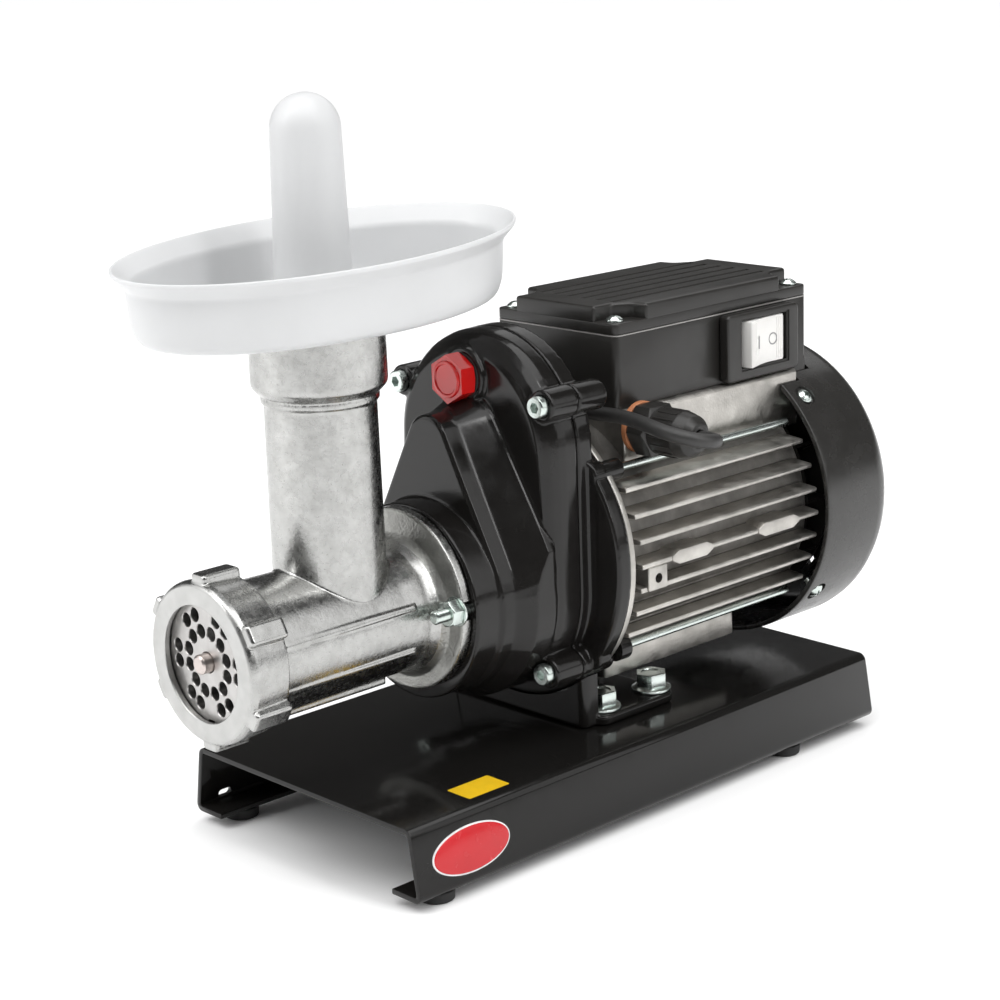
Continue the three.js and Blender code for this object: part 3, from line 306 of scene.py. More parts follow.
def boolean(thing, others, operation):
    for other in others:
        step = thing.modifiers.new("step", "BOOLEAN")
        step.operation, step.solver, step.object = operation, "EXACT", other
    settle(thing)
    for other in others:
        bpy.data.objects.remove(other)
    return thing


def bevelled(thing, width, segments=3, angle=40, sharp=38):
    step = thing.modifiers.new("edges", "BEVEL")
    step.width, step.segments = width / 1000, segments
    step.limit_method, step.angle_limit = "ANGLE", math.radians(angle)
    step.use_clamp_overlap = True
    settle(thing)
    tidy(thing, sharp)
    return thing


def fused(name, things, mat, voxel=0.7, smooth=6, cutters=(), sharp=50):
    """Castings: the solids grow together, and the corners between them fill."""
    made = joined(things, name)
    step = made.modifiers.new("skin", "REMESH")
    step.mode, step.voxel_size = "VOXEL", voxel / 1000
    soft = made.modifiers.new("soft", "SMOOTH")
    soft.factor, soft.iterations = 0.5, smooth
    settle(made)
    if cutters:
        boolean(made, list(cutters), "DIFFERENCE")
    made.data.materials.clear()
    made.data.materials.append(MAT[mat])
    tidy(made, sharp)
    return made


def corner_arcs(points, closed=False, steps=5):
    """Points are (u, v) or (u, v, radius): each one with a radius becomes an arc."""
    out = []
    count = len(points)
    for i, point in enumerate(points):
        inner = closed or 0 < i < count - 1
        if len(point) < 3 or not inner:
            out.append((point[0], point[1]))
            continue
        here = Vector(point[:2])
        to_before = Vector(points[i - 1][:2]) - here
        to_after = Vector(points[(i + 1) % count][:2]) - here
        half = to_before.angle(to_after) / 2
        back = min(point[2] / math.tan(half), to_before.length * 0.49, to_after.length * 0.49)
        radius = back * math.tan(half)
        start, end = here + to_before.normalized() * back, here + to_after.normalized() * back
        inward = (to_before.normalized() + to_after.normalized()).normalized()
        middle = here + inward * (radius / math.sin(half))
        a, b = start - middle, end - middle
        whole = a.angle_signed(b)
        for k in range(steps + 1):
            out.append(tuple(middle + Matrix.Rotation(-whole * k / steps, 2) @ a))
    return out


def place(axis, along, u, v):
    return {"x": (along, u, v), "y": (u, along, v), "z": (u, v, along)}[axis]


def lathe(name, profile, axis, u, v, mat, segments=96, closed=False, sharp=38, steps=5, start=0.0):
    """A turned piece: the profile is (along, radius[, corner radius]) about a line through (u, v)."""
    line = corner_arcs(profile, closed, steps)
    verts, rings = [], []
    for along, r in line:
        if r < 1e-6:
            rings.append([len(verts)])
            verts.append(place(axis, along, u, v))
            continue
        rings.append(list(range(len(verts), len(verts) + segments)))
        for k in range(segments):
            t = start + k * TURN / segments
            verts.append(place(axis, along, u + r * math.cos(t), v + r * math.sin(t)))
    faces = []
    pairs = list(zip(rings, rings[1:])) + ([(rings[-1], rings[0])] if closed else [])
    for a, b in pairs:
        for k in range(segments):
            n = (k + 1) % segments
            if len(a) == 1 and len(b) == 1:
                break
            if len(a) == 1:
                faces.append((a[0], b[k], b[n]))
            elif len(b) == 1:
                faces.append((a[k], b[0], a[n]))
            else:
                faces.append((a[k], b[k], b[n], a[n]))
    return piece(name, verts, faces, mat, sharp)


def prism(name, outline, low, high, axis, mat, steps=5, sharp=38):
    """An outline of (u, v[, corner radius]) carried along an axis."""
    line = corner_arcs(outline, True, steps)
    n = len(line)
    verts = [place(axis, along, u, v) for along in (low, high) for u, v in line]
    faces = [tuple(range(n)), tuple(range(n, 2 * n))]
    faces += [(k, (k + 1) % n, n + (k + 1) % n, n + k) for k in range(n)]
    return piece(name, verts, faces, mat, sharp)


def box(name, x0, x1, y0, y1, z0, z1, mat, r=0.0):
    outline = [(x0, y0), (x1, y0), (x1, y1), (x0, y1)]
    if r:
        outline = [(x, y, r) for x, y in outline]
    return prism(name, outline, z0, z1, "z", mat)


def cylinder(name, low, high, r, axis, u, v, mat, segments=48, edge=0.0):
    if not edge:
        profile = [(low, 0), (low, r), (high, r), (high, 0)]
    else:
        profile = [(low, 0), (low, r, edge), (high, r, edge), (high, 0)]
    return lathe(name, profile, axis, u, v, mat, segments)


def hexagon(af, u, v, turn=0.0):
    corner = af / math.sqrt(3)
    return [(u + corner * math.cos(turn + k * TURN / 6), v + corner * math.sin(turn + k * TURN / 6))
            for k in range(6)]


def loft(name, rings, mat, sharp=38, closed=False):
    verts = [p for ring in rings for p in ring]
    n = len(rings[0])
    faces = []
    for i in range(len(rings) if closed else len(rings) - 1):
        a, b = i * n, ((i + 1) % len(rings)) * n
        faces += [(a + k, a + (k + 1) % n, b + (k + 1) % n, b + k) for k in range(n)]
    if not closed:
        faces += [tuple(range(n)), tuple(range((len(rings) - 1) * n, len(rings) * n))]
    return piece(name, verts, faces, mat, sharp)


def hexed(name, af, low, high, axis, u, v, mat, dome=None, turn=0.0):
    """A hexagonal head whose corners are chamfered by a cone at the ends that dome names."""
    corner = af / math.sqrt(3)
    slope = math.tan(math.radians(28))
    drop = (corner - af * 0.47) * slope
    profile = [(low, 0), (low, af * 0.47), (low + drop, corner + 0.05), (high - drop, corner + 0.05),
               (high, af * 0.47), (high, 0)]
    if dome == "low":
        profile[3:5] = [(high, corner + 0.05)]
    if dome == "high":
        profile[1:3] = [(low, corner + 0.05)]
    barrel = lathe(name + "_cone", profile, axis, u, v, mat, 72)
    head = prism(name, hexagon(af, u, v, turn), low - 0.01, high + 0.01, axis, mat)
    boolean(head, [barrel], "INTERSECT")
    return bevelled(head, 0.18, 2, 25, 30)


def ride(thing, *nodes):
    """Stands for CAD nodes, on their body."""
    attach(thing, BODY_OF[nodes[0]])
    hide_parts(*nodes)


# ---- mains lead ---------------------------------------------------------------------------------
# the same route as the CAD lead
LEAD = [
    (79.2, 46.4, 168), (85.4, 45.8, 168.4), (91, 42.4, 169.3), (94.4, 36.6, 170.6), (94, 30.2, 172),
    (90, 25.2, 173.4), (83, 22.6, 174.8), (74, 22.4, 176), (64, 24.2, 176.8), (52, 26.4, 177),
    (38, 27.2, 176.4), (20, 27.4, 175.2), (0, 27.4, 174.7), (-20, 27.4, 174.7), (-38, 27.8, 173.4),
    (-52, 29, 168.6), (-64, 31.2, 159), (-73.6, 34.4, 145), (-80.4, 38.4, 128), (-85.4, 43, 108),
    (-89, 48, 86), (-92, 53.6, 64), (-95.4, 59.4, 43), (-100.4, 65.4, 25), (-108, 71.6, 11.6),
    (-118, 77.6, 5.2), (-130, 81.4, 3.6), (-142, 83.4, 3.3), (-154, 86, 3.3),
]
CORD_D = 6.4
COIL_X, COIL_Y, COIL_R = -140, 133, 35
PLUG_X, PLUG_Y, PLUG_Z = -140, 199, 19


def lead_route():
    """The lead, then the turns of the coil and the way out to the plug."""
    route = [Vector(p) for p in LEAD[:-2]]
    pitch = CORD_D + 0.1
    low, high = CORD_D / 2 + 0.1, CORD_D / 2 + 0.1 + pitch * 0.88
    turns = [(COIL_R + pitch, low), (COIL_R, low), (COIL_R - pitch, low), (COIL_R - pitch / 2, high),
             (COIL_R + pitch / 2, high)]
    start = math.radians(-98)
    per_turn = 26
    for i, (r, z) in enumerate(turns):
        after = turns[min(i + 1, len(turns) - 1)]
        steps = per_turn if i < len(turns) - 1 else round(per_turn * 0.72)
        for k in range(steps):
            t = start - k * TURN / per_turn
            ease = max(0.0, (k / per_turn - 0.72) / 0.28)
            ease = ease * ease * (3 - 2 * ease) if i < len(turns) - 1 else 0.0
            radius, height = r + (after[0] - r) * ease, z + (after[1] - z) * ease
            route.append(Vector((COIL_X + radius * math.cos(t), COIL_Y + radius * math.sin(t), height)))
    return route


add_camera()
add_light()

# ---- floor and lead -----------------------------------------------------------------------------
floor = lathe("floor", [(0, 0), (0, 20000), (-10, 20000), (-10, 0)], "z", 0, 0, "floor", 96)

curve = bpy.data.curves.new("mains_lead", "CURVE")
curve.dimensions = "3D"
curve.bevel_depth, curve.bevel_resolution = CORD_D / 2000, 5
curve.resolution_u = 4
curve.use_fill_caps = True
route = lead_route()
END = Vector((PLUG_X, PLUG_Y, PLUG_Z))
near = route[-1]
away = (route[-1] - route[-2]).normalized()
first = near + away * 26
for k in range(1, 8):
    t = k / 8
    a, b, c, d = near, first, END - Vector((34, 0, 0)), END - Vector((3, 0, 0))
    s = 1 - t
    route.append(s ** 3 * a + 3 * s * s * t * b + 3 * s * t * t * c + t ** 3 * d)
route += [END - Vector((3, 0, 0)), END + Vector((4, 0, 0))]
spline = curve.splines.new("BEZIER")
spline.bezier_points.add(len(route) - 1)
for k, point in enumerate(route):
    knot = spline.bezier_points[k]
    knot.co = point / 1000
    before, after = route[max(k - 1, 0)], route[min(k + 1, len(route) - 1)]
    tangent = (after - before).normalized()
    knot.handle_left_type = knot.handle_right_type = "FREE"
    knot.handle_left = (point - tangent * (point - before).length / 3) / 1000
    knot.handle_right = (point + tangent * (after - point).length / 3) / 1000
curve.materials.append(MAT["cable"])
lead = bpy.data.objects.new("mains_lead", curve)
SCENE.collection.objects.link(lead)
ride(lead, "power_cord", "cord_coil")

plug = lathe("plug", [
    (PLUG_X - 24, 0), (PLUG_X - 24, 3.7), (PLUG_X - 23, 4.2, 0.4), (PLUG_X + 6, 5.6), (PLUG_X + 12, 7.5, 4),
    (PLUG_X + 18, 14, 4), (PLUG_X + 27, 18.2, 6), (PLUG_X + 36, 18.4, 1.2), (PLUG_X + 38, 17.4, 0.8),
    (PLUG_X + 38, 14.6, 0.4), (PLUG_X + 37, 14, 0.4), (PLUG_X + 37, 0),
], "x", PLUG_Y, PLUG_Z, "black_plastic", 96)
bevels = []
for k in range(6):
    x = PLUG_X - 19 + k * 4
    bevels.append(lathe("relief", [(x, 3.6), (x, 12), (x + 1.5, 12), (x + 1.5, 3.6)], "x", PLUG_Y, PLUG_Z,
                        "black_plastic", 24, closed=True))
for side in (-1, 1):
    bevels.append(box("grip", PLUG_X + 20, PLUG_X + 34, PLUG_Y + side * 16.4 - 1.2,
                      PLUG_Y + side * 16.4 + 1.2, 0, 40, "black_plastic", 0.8))
boolean(plug, bevels, "DIFFERENCE")
tidy(plug)
ride(plug, "mains_plug")
pins = joined([lathe("plug_pins", [(PLUG_X + 36, 0), (PLUG_X + 36, 2.4), (PLUG_X + 55, 2.4, 1.6),
                                   (PLUG_X + 57, 1, 0.5), (PLUG_X + 57, 0)], "x", PLUG_Y + dy, PLUG_Z,
                     "plug_brass", 32) for dy in (-9.5, 9.5)])
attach(pins, "machine")

# the tie around the coil, on its far side from the machine
band = []
for k in range(40):
    t = k * TURN / 40
    band.append((10.4 * math.cos(t), 8.4 * math.sin(t) + 8.9))
tie = []
for y in (-4, 4):
    for grow in (0, 1.2):
        tie.append([(COIL_X - COIL_R + u * (1 + grow / 10.4), COIL_Y + 12 + y,
                     0.3 + (v + (grow if v > 8 else 0)))
                    for u, v in band])
tie = [tie[0], tie[1], tie[3], tie[2]]
cord_tie = loft("cord_tie", tie, "black_plastic", closed=True)
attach(cord_tie, "machine")

# cable gland, its sealing washer, and the dome nut's ribs
gland = hexed("gland_nut", 22, 45.4, 56.4, "x", GLAND_Y, GLAND_Z, "black_plastic", turn=0.0)
gland_dome = lathe("gland_dome", [
    (56.2, 9.4), (56.2, 10.5, 0.3), (70, 10.5, 3), (75.2, 9.2, 2.5), (78.4, 6.2, 0.8), (78.6, 5, 0.4),
    (78.2, 3.5, 0.4), (70, 3.3), (70, 9),
], "x", GLAND_Y, GLAND_Z, "black_plastic", 96, closed=True)
ribs = [cylinder("rib", 58, 69, 0.6, "x", GLAND_Y + 10.3 * math.cos(k * TURN / 16),
                 GLAND_Z + 10.3 * math.sin(k * TURN / 16), "black_plastic", 12) for k in range(16)]
gland_stem = lathe("gland_stem", [(34, 3.4), (34, 5.3), (45.6, 5.3), (45.6, 3.4)], "x", GLAND_Y, GLAND_Z,
                   "black_plastic", 48, closed=True)
gland_bore = cylinder("bore", 30, 60, 3.4, "x", GLAND_Y, GLAND_Z, "black_plastic", 48)
boolean(gland, [gland_bore], "DIFFERENCE")
tidy(gland)
gland = joined([gland, gland_dome, gland_stem] + ribs, "gland")
ride(gland, "cable_gland")
washer = lathe("gland_ring", [(42.3, 6), (42.3, 11.6, 0.5), (45.2, 11.6, 0.5), (45.2, 6)], "x", GLAND_Y,
               GLAND_Z, "fibre", 64, closed=True)
ride(washer, "gland_washer")


# ---- shared shapes ------------------------------------------------------------------------------
def two_circles(low_z, low_r, high_z, high_r, count=40):
    """The outline around two circles on the middle line, one above the other, as (x, z)."""
    tilt = math.asin((low_r - high_r) / (high_z - low_z))

    def arc(r, z, start, sweep):
        turns = [start + sweep * k / count for k in range(count + 1)]
        return [(r * math.cos(t), z + r * math.sin(t)) for t in turns]

    top = arc(high_r, high_z, tilt, math.pi - 2 * tilt)
    bottom = arc(low_r, low_z, math.pi - tilt, math.pi + 2 * tilt)
    out = []
    for here, other in ((top, bottom), (bottom, top)):
        (x0, z0), (x1, z1) = here[-1], other[0]
        out += here + [(x0 + (x1 - x0) * k / 24, z0 + (z1 - z0) * k / 24) for k in range(1, 24)]
    return out


def stepped(name, layers, mat):
    """Rings [(y, low_z, low_r, high_z, high_r)] joined into one tapering slab."""
    rings = [[(x, y, z) for x, z in two_circles(*sizes)] for y, *sizes in layers]
    return loft(name, rings, mat)


def turned_by(thing, matrix):
    thing.data.transform(matrix)
    return thing


def about(x, y, z, angle, axis):
    spot = Matrix.Translation(Vector((x, y, z)) / 1000)
    return spot @ Matrix.Rotation(math.radians(angle), 4, axis) @ spot.inverted()


def paint(thing, mat, test):
    """Another material on the faces whose middle (mm) and normal pass a test."""
    if MAT[mat].name not in [m.name for m in thing.data.materials]:
        thing.data.materials.append(MAT[mat])
    index = [m.name for m in thing.data.materials].index(MAT[mat].name)
    for face in thing.data.polygons:
        if test(face.center * 1000, face.normal):
            face.material_index = index


def off_axis(point, z):
    """Distance from a line along Y at a height."""
    return math.hypot(point.x, point.z - z)


def bar(name, angle, r0, r1, width, y0, y1, mat, edge=0.0):
    """A bar along the head's axis, at an angle from +X."""
    made = box(name, r0, r1, y0, y1, HEAD_Z - width / 2, HEAD_Z + width / 2, mat)
    if edge:
        bevelled(made, edge, 3)
    return turned_by(made, about(0, 0, HEAD_Z, -angle, "Y"))


def pan_screw(name, seat, radius, height, shank, matrix, mat="zinc"):
    """A cross-recessed screw, its head up along Z from the seat."""
    made = lathe(name, [(seat - shank, 0), (seat - shank, radius * 0.5), (seat, radius * 0.5),
                        (seat, radius, 0.2), (seat + height * 0.35, radius, height * 0.5),
                        (seat + height, radius * 0.45, height), (seat + height, 0)], "z", 0, 0, mat, 48)
    arm, width = radius * 0.55, radius * 0.2
    for turn in (0, 90):
        slot = box("slot", -arm, arm, -width / 2, width / 2, seat + height * 0.35, seat + height + 1, mat)
        boolean(made, [turned_by(slot, Matrix.Rotation(math.radians(turn + 20), 4, "Z"))], "DIFFERENCE")
    tidy(made)
    return turned_by(made, matrix)


def threads(low, high, r, pitch=0.8):
    """Ridges of a thread, as lathe points."""
    out = []
    for k in range(int((high - low) / pitch)):
        out += [(low + k * pitch, r - 0.35), (low + (k + 0.5) * pitch, r)]
    return out


# ---- base ---------------------------------------------------------------------------------------
BASE_HALF, TOP_HALF, LIP_Z, TOP_Z = 76.5, 71.3, 5, 36.1
SECTION = [(58, LIP_Z, 0.6), (BASE_HALF, LIP_Z, 3.4), (TOP_HALF, TOP_Z, 4), (-TOP_HALF, TOP_Z, 4),
           (-BASE_HALF, LIP_Z, 3.4), (-58, LIP_Z, 0.6), (-58, 7.5, 0.6),
           (-73.4, 7.5, 1.2), (-69, 33.6, 1.6), (69, 33.6, 1.6), (73.4, 7.5, 1.2), (58, 7.5, 0.6)]
base = prism("base_channel", SECTION, -121.7, 171.6, "y", "base_paint", 6)
slot = prism("slot", [(-111.5, 8.6, 1.5), (-104.5, 8.6, 1.5), (-104.5, 11.8, 1.5), (-111.5, 11.8, 1.5)], -80,
             -70, "x", "base_paint")
boolean(base, [slot], "DIFFERENCE")
bevelled(base, 0.5, 2, 50)
ride(base, "base_plate")

ANGLE = math.atan2(BASE_HALF - TOP_HALF, TOP_Z - LIP_Z)
badge_at = Vector((73.95, -91.5, 20.2))


def oval(name, half_y, half_z, lift, thick, mat, edge):
    rings = []
    for grow, out in ((0, 0), (0, thick - edge), (-edge * 0.6, thick - edge * 0.3), (-edge * 1.6, thick)):
        rings.append([(lift + out, (half_y + grow) * math.cos(k * TURN / 96),
                       (half_z + grow) * math.sin(k * TURN / 96))
                      for k in range(96)])
    made = loft(name, rings, mat)
    return turned_by(made, Matrix.Translation(badge_at / 1000) @ Matrix.Rotation(-ANGLE, 4, "Y"))


badge = joined([oval("badge_edge", 21.5, 10, 0, 0.5, "label_white", 0.2),
                oval("badge_face", 20.8, 9.3, 0.3, 0.5, "badge_red", 0.3)], "badge")
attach(badge, "machine")
label = prism("base_label", [(50, -82.5, 0.8), (64, -82.5, 0.8), (64, -59.5, 0.8), (50, -59.5, 0.8)], 36.05,
              36.25, "z", "label_yellow")
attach(label, "machine")

for i, (x, y) in enumerate([(66, -104.6), (-66, -104.6), (66, 116.4), (-66, 116.4)]):
    foot = lathe(f"foot_{i + 1}", [(0, 0), (0, 5.6, 0.4), (0.5, 6.2, 0.4), (0, 6.8, 0.5), (0.3, 7.6, 0.8),
                                   (4.8, 8, 0.5), (4.8, 0)], "z", x, y, "rubber", 64)
    ride(foot, f"rubber_foot_{i + 1}")

platform = bevelled(box("platform", -48, 48, 13.6, 62, 36.4, 41.2, "black_paint", 5), 0.8, 2)
web = bevelled(box("web", -44, 44, 5.6, 29.8, 36.4, 66, "black_paint", 4), 0.8, 2)
pockets = [cylinder("pocket", 41.25, 70, 10.4, "z", sx * 37.7, y, "black_paint", 64) for sx in (1, -1)
           for y in (22.9, 56.1)]
saddle = cylinder("saddle", 0, 70, 68.2, "y", 0, MOTOR_Z, "black_paint", 128)
bracket = fused("bracket", [platform, web], "black_paint", 0.7, 5, [saddle] + pockets)
ride(bracket, "motor_bracket")

for i, (x, y) in enumerate([(37.7, 22.9), (-37.7, 22.9), (37.7, 56.1), (-37.7, 56.1)]):
    flange = lathe("flange", [(27.5, 0), (27.5, 4), (41.4, 4), (41.4, 9.2, 0.3), (42.6, 9.1, 0.5),
                              (43.6, 7.0, 0.5), (43.6, 0)], "z", x, y, "zinc", 72)
    head = hexed("bolt_head", 13, 42.6, 49.7, "z", x, y, "zinc", "low", 0.35 + i)
    dish = lathe("dish", [(49.1, 0), (49.1, 4.2, 0.4), (50.2, 4.9), (50.2, 0)], "z", x, y, "zinc", 48)
    boolean(head, [dish], "DIFFERENCE")
    tidy(head, 30)
    bolt = joined([head, flange], f"base_bolt_{i + 1}")
    ride(bolt, f"bracket_bolt_{i + 1}")

# ---- grinding head ------------------------------------------------------------------------------
barrel = lathe("barrel", [
    (-161.5, 0), (-161.5, 31), (-148.6, 31), (-146, 28.8, 2), (-80, 28, 30), (-68, 28.3, 5), (-63, 29.6, 3),
    (-60.6, 32.4), (-56, 32.4), (-56, 0),
], "y", 0, HEAD_Z, "cast", 128)
flange = lathe("head_flange", [(-61, 0), (-61, 40.4, 0.9), (-56, 40.4), (-56, 0)], "y", 0,
               HEAD_Z + FLANGE_UP, "cast", 128)
neck = lathe("neck", [
    (HEAD_Z, 0), (HEAD_Z, 24.2), (199.4, 23.4, 1), (200.2, 24.6, 0.5), (202.4, 24.6, 0.5), (203, 23.8, 0.3),
    (203.8, 25.4, 0.6), (206.8, 28.3, 3.5), (230.9, 28.3, 1), (230.9, 0),
], "z", 0, NECK_Y, "cast", 128)
parts = [barrel, neck, flange]
for angle, width, rise in ((16, 2.4, 1.1), (-26, 2.4, 1.1), (-90, 12, 3.4)):
    parts.append(bar("rib", angle, 24, 28 + rise, width, -144.6, -76, "cast"))
cuts = [
    lathe("bore", [(-170, 0), (-170, 27.3), (-158.5, 27.3), (-158.5, 24.4), (-64.5, 24.4), (-64.5, 13),
                   (-54, 13), (-54, 0)], "y", 0, HEAD_Z, "cast", 96),
    lathe("feed", [(HEAD_Z, 0), (HEAD_Z, 20), (207, 20), (207, 25.3), (235, 25.3), (235, 0)], "z", 0, NECK_Y,
          "cast", 96),
]
for side in (1, -1):
    line = [(side * 50, STUD_Z - 4.2), (side * 50, STUD_Z + 4.2)]
    line += [(side * (STUD_X - 4.2 * math.sin(k * math.pi / 16)), STUD_Z + 4.2 * math.cos(k * math.pi / 16))
             for k in range(17)]
    cuts.append(prism("stud_slot", line, -70, -50, "y", "cast"))
    cuts.append(cylinder("spot_face", -80, -61, 7.2, "y", side * STUD_X, STUD_Z, "cast", 64))
head = fused("head_casting", parts, "cast", 0.56, 3, cuts)
paint(head, "rough_cast", lambda c, n: -65 < c.y < -60.4 and n.y < -0.4 and off_axis(c, HEAD_Z) > 29.2)
ride(head, "grinder_head")

for side, word in ((1, "right"), (-1, "left")):
    profile = [(-74.4, 0), (-74.4, 2)] + threads(-74.2, -64, 2.9) + [(-64, 2.6), (-47.6, 2.6), (-47.6, 0)]
    stud = lathe(f"stud_{word}", profile, "y", side * STUD_X, STUD_Z, "zinc", 32)
    ride(stud, f"head_stud_{word}")
    nut = hexed(f"nut_{word}", 10.5, -67.6, -62, "y", side * STUD_X, STUD_Z, "zinc", turn=0.3)
    washer_disc = lathe("plain_washer", [(-62, 3), (-62, 6.6, 0.2), (-61.1, 6.6, 0.2), (-61.1, 3)], "y",
                        side * STUD_X, STUD_Z, "zinc", 48, closed=True)
    boolean(nut, [cylinder("hole", -70, -60, 3.05, "y", side * STUD_X, STUD_Z, "zinc", 32)], "DIFFERENCE")
    tidy(nut, 30)
    nut = joined([nut, washer_disc], f"nut_{word}")
    ride(nut, f"head_nut_{word}")

ring = lathe("ring_body", [
    (-167.6, 24.5, 0.5), (-167.6, 32.7, 1.4), (-166.2, 34.0, 1.2), (-164.2, 34.5, 1), (-148, 33.6, 0.8),
    (-147.6, 31.3), (-164.1, 31.3), (-164.1, 25.5), (-167, 24.4, 0.5),
], "y", 0, HEAD_Z, "machined", 128, closed=True)
lugs = [bar("lug", 30 + 60 * k, 32.2, 37.6, 9.2, -166.2, -147.6, "machined", 1.6) for k in range(6)]
ring = fused("ring", [ring] + lugs, "machined", 0.42, 3)
paint(ring, "cast", lambda c, n: off_axis(c, HEAD_Z) > 33.2 and abs(n.y) < 0.7)
ride(ring, "ring_nut")

plate = lathe("plate", [(-163.8, 0), (-163.8, 27, 0.3), (-158.8, 27, 0.3), (-158.8, 0)], "y", 0, HEAD_Z,
              "plate_steel", 96)
holes = []
for k in range(12):
    t = math.radians(15 + 30 * k)
    holes.append((13 * math.cos(t), 13 * math.sin(t), 2.9))
for k in range(6):
    for off in (-9.5, 9.5):
        t = math.radians(60 * k + off)
        holes.append((20 * math.cos(t), 20 * math.sin(t), 2.9))
holes.append((0, 0, 4.4))
drills = [lathe("drill", [(-164.4, 0), (-164.4, r + 0.6), (-163.4, r), (-158, r), (-158, 0)], "y", x,
                HEAD_Z + z, "plate_steel", 40) for x, z, r in holes]
boolean(plate, [joined(drills), box("key", -2, 2, -165, -158, 75, 78, "plate_steel")], "DIFFERENCE")
tidy(plate, 30)
ride(plate, "grinding_plate")
spigot = lathe("auger_spigot", [(-158, 0), (-158, 4.15), (-167.9, 4.15, 0.8), (-168.6, 3.1, 0.4),
                                (-168.6, 1.4, 0.2), (-168.45, 0.4), (-168.45, 0)], "y", 0, HEAD_Z,
               "pin_steel", 48)
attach(spigot, "output_body")


# ---- tray and pusher ----------------------------------------------------------------------------
def rounded_line(stations, steps=6):
    """Stations whose last number is a cut: each corner starts and ends that far from its station."""
    out = []
    count = len(stations)
    for i, (*here, cut) in enumerate(stations):
        ends = []
        for other in (stations[i - 1], stations[(i + 1) % count]):
            share = min(cut / math.dist(here, other[:-1]), 0.48)
            ends.append([p + (q - p) * share for p, q in zip(here, other)])
        for k in range(steps + 1):
            t = k / steps
            out.append([(1 - t) ** 2 * p + 2 * t * (1 - t) * q + t * t * r
                        for p, q, r in zip(ends[0], here, ends[1])])
    return out


TRAY_FLOOR, TRAY_RIM = 232.6, 264.8
LEAN_ACROSS, LEAN_FLOOR, LEAN_RIM = -0.053, 0.011, 0.033
T, N = TRAY_Y, NECK_Y
# half width, half length, middle y, z, 1 on the leaning pan or 0 on the upright spout, cut
stations = rounded_line([
    (53, 95.4, T, 264.9, 1, 0.5), (54, 96.4, T, 264.8, 1, 0.7), (54, 96.4, T, 263.2, 1, 0.7),
    (48.6, 90.8, T, 257.2, 1, 1.6), (47.5, 89.5, T, 240.6, 1, 3), (45.2, 87.2, T, 234.9, 1, 2.9),
    (39.5, 81.5, T, 232.6, 1, 2.9), (25, 25, N, 232.6, 0, 1.5), (24, 24, N, 209, 0, 0.8),
    (21.5, 21.5, N, 209, 0, 0.8), (22.3, 22.3, N, 234.8, 0, 3), (39, 81, T, 234.8, 1, 2),
    (43.5, 85.5, T, 236.5, 1, 2), (45.3, 87.3, T, 240.6, 1, 2.2), (46.5, 88.7, T, 257.9, 1, 2),
])
rings = []
for a, b, y, z, pan in stations:
    slope = LEAN_FLOOR + (z - TRAY_FLOOR) / (TRAY_RIM - TRAY_FLOOR) * (LEAN_RIM - LEAN_FLOOR)
    rings.append([])
    for k in range(144):
        across, along = a * math.cos(k * TURN / 144), b * math.sin(k * TURN / 144)
        rings[-1].append((across, y + along, z + pan * (slope * along + LEAN_ACROSS * across)))
tray = loft("hopper_tray", rings, "white_plastic", 60, closed=True)
ride(tray, "tray")

PUSHER_DOME = 310.5


def dome(r):
    """A quarter turn from the tip to the side, as lathe points."""
    return [(PUSHER_DOME + r * math.cos(k * math.pi / 24), r * math.sin(k * math.pi / 24))
            for k in range(13)]


pusher = lathe("stomper", dome(14.4) + [(131.5, 19.2, 1), (131.5, 16.6, 1)] + dome(11.8)[::-1], "z", 0,
               NECK_Y, "white_plastic", 128, sharp=60)
ride(pusher, "pusher")

# ---- gearbox ------------------------------------------------------------------------------------
case = [
    stepped("case", [(-17, HEAD_Z, 46.5, 163.4, 43), (-15.8, HEAD_Z, 48.4, 163.9, 45.2),
                     (-13.6, HEAD_Z, 49.6, 164.6, 47.4), (-10.6, HEAD_Z, 50, 165.2, 49),
                     (-7, HEAD_Z, 50, 165.5, 49.8), (-0.2, HEAD_Z, 50, LAYSHAFT_Z, 49.999)],
            "black_paint"),
    lathe("boss_root", [(-38, 0), (-38, 44), (-35.5, 45), (-29, 45.2, 4), (-24, 49.6), (-14, 49.6),
                        (-14, 0)],
          "y", 0, HEAD_Z, "black_paint", 128),
    lathe("boss", [(-55.6, 0), (-55.6, 43.5, 0.8), (-37, 43.5), (-37, 0)], "y", 0, HEAD_Z, "black_paint",
          128),
    lathe("plug_boss", [(-20, 0), (-20, 12.5, 1), (-14, 13), (-14, 0)], "y", 0, OIL_Z, "black_paint", 64),
]
for x, z, rear in CASE_BOLTS:
    case.append(lathe("ear", [(-16, 0), (-16, 7, 0.8), (-0.2, 7.2), (-0.2, 0)], "y", x, z, "black_paint",
                      48))
ramp = stepped("ramp", [(-42, HEAD_Z, 43.8, 170, 11.8), (-41, HEAD_Z, 44.8, 170, 12.8),
                        (-34.5, HEAD_Z, 45.2, 170, 13.2), (-33, HEAD_Z, 45.8, 169.6, 13.8),
                        (-19.4, HEAD_Z, 54.4, 168, 20.2), (-18.7, HEAD_Z, 55, 168, 20.8),
                        (-15, HEAD_Z, 55, 168, 20.8)],
               "black_paint")
outside = stepped("outside", [(-60, HEAD_Z, 49.9, LAYSHAFT_Z, 49.899),
                              (-1, HEAD_Z, 49.9, LAYSHAFT_Z, 49.899)],
                  "black_paint")
case.append(boolean(ramp, [outside], "INTERSECT"))
spots = [cylinder("spot_face", -20, -13.7, 5.3, "y", x, z, "black_paint", 48) for x, z, rear in CASE_BOLTS]
cover = fused("cover_casting", case, "black_paint", 0.66, 3, spots)
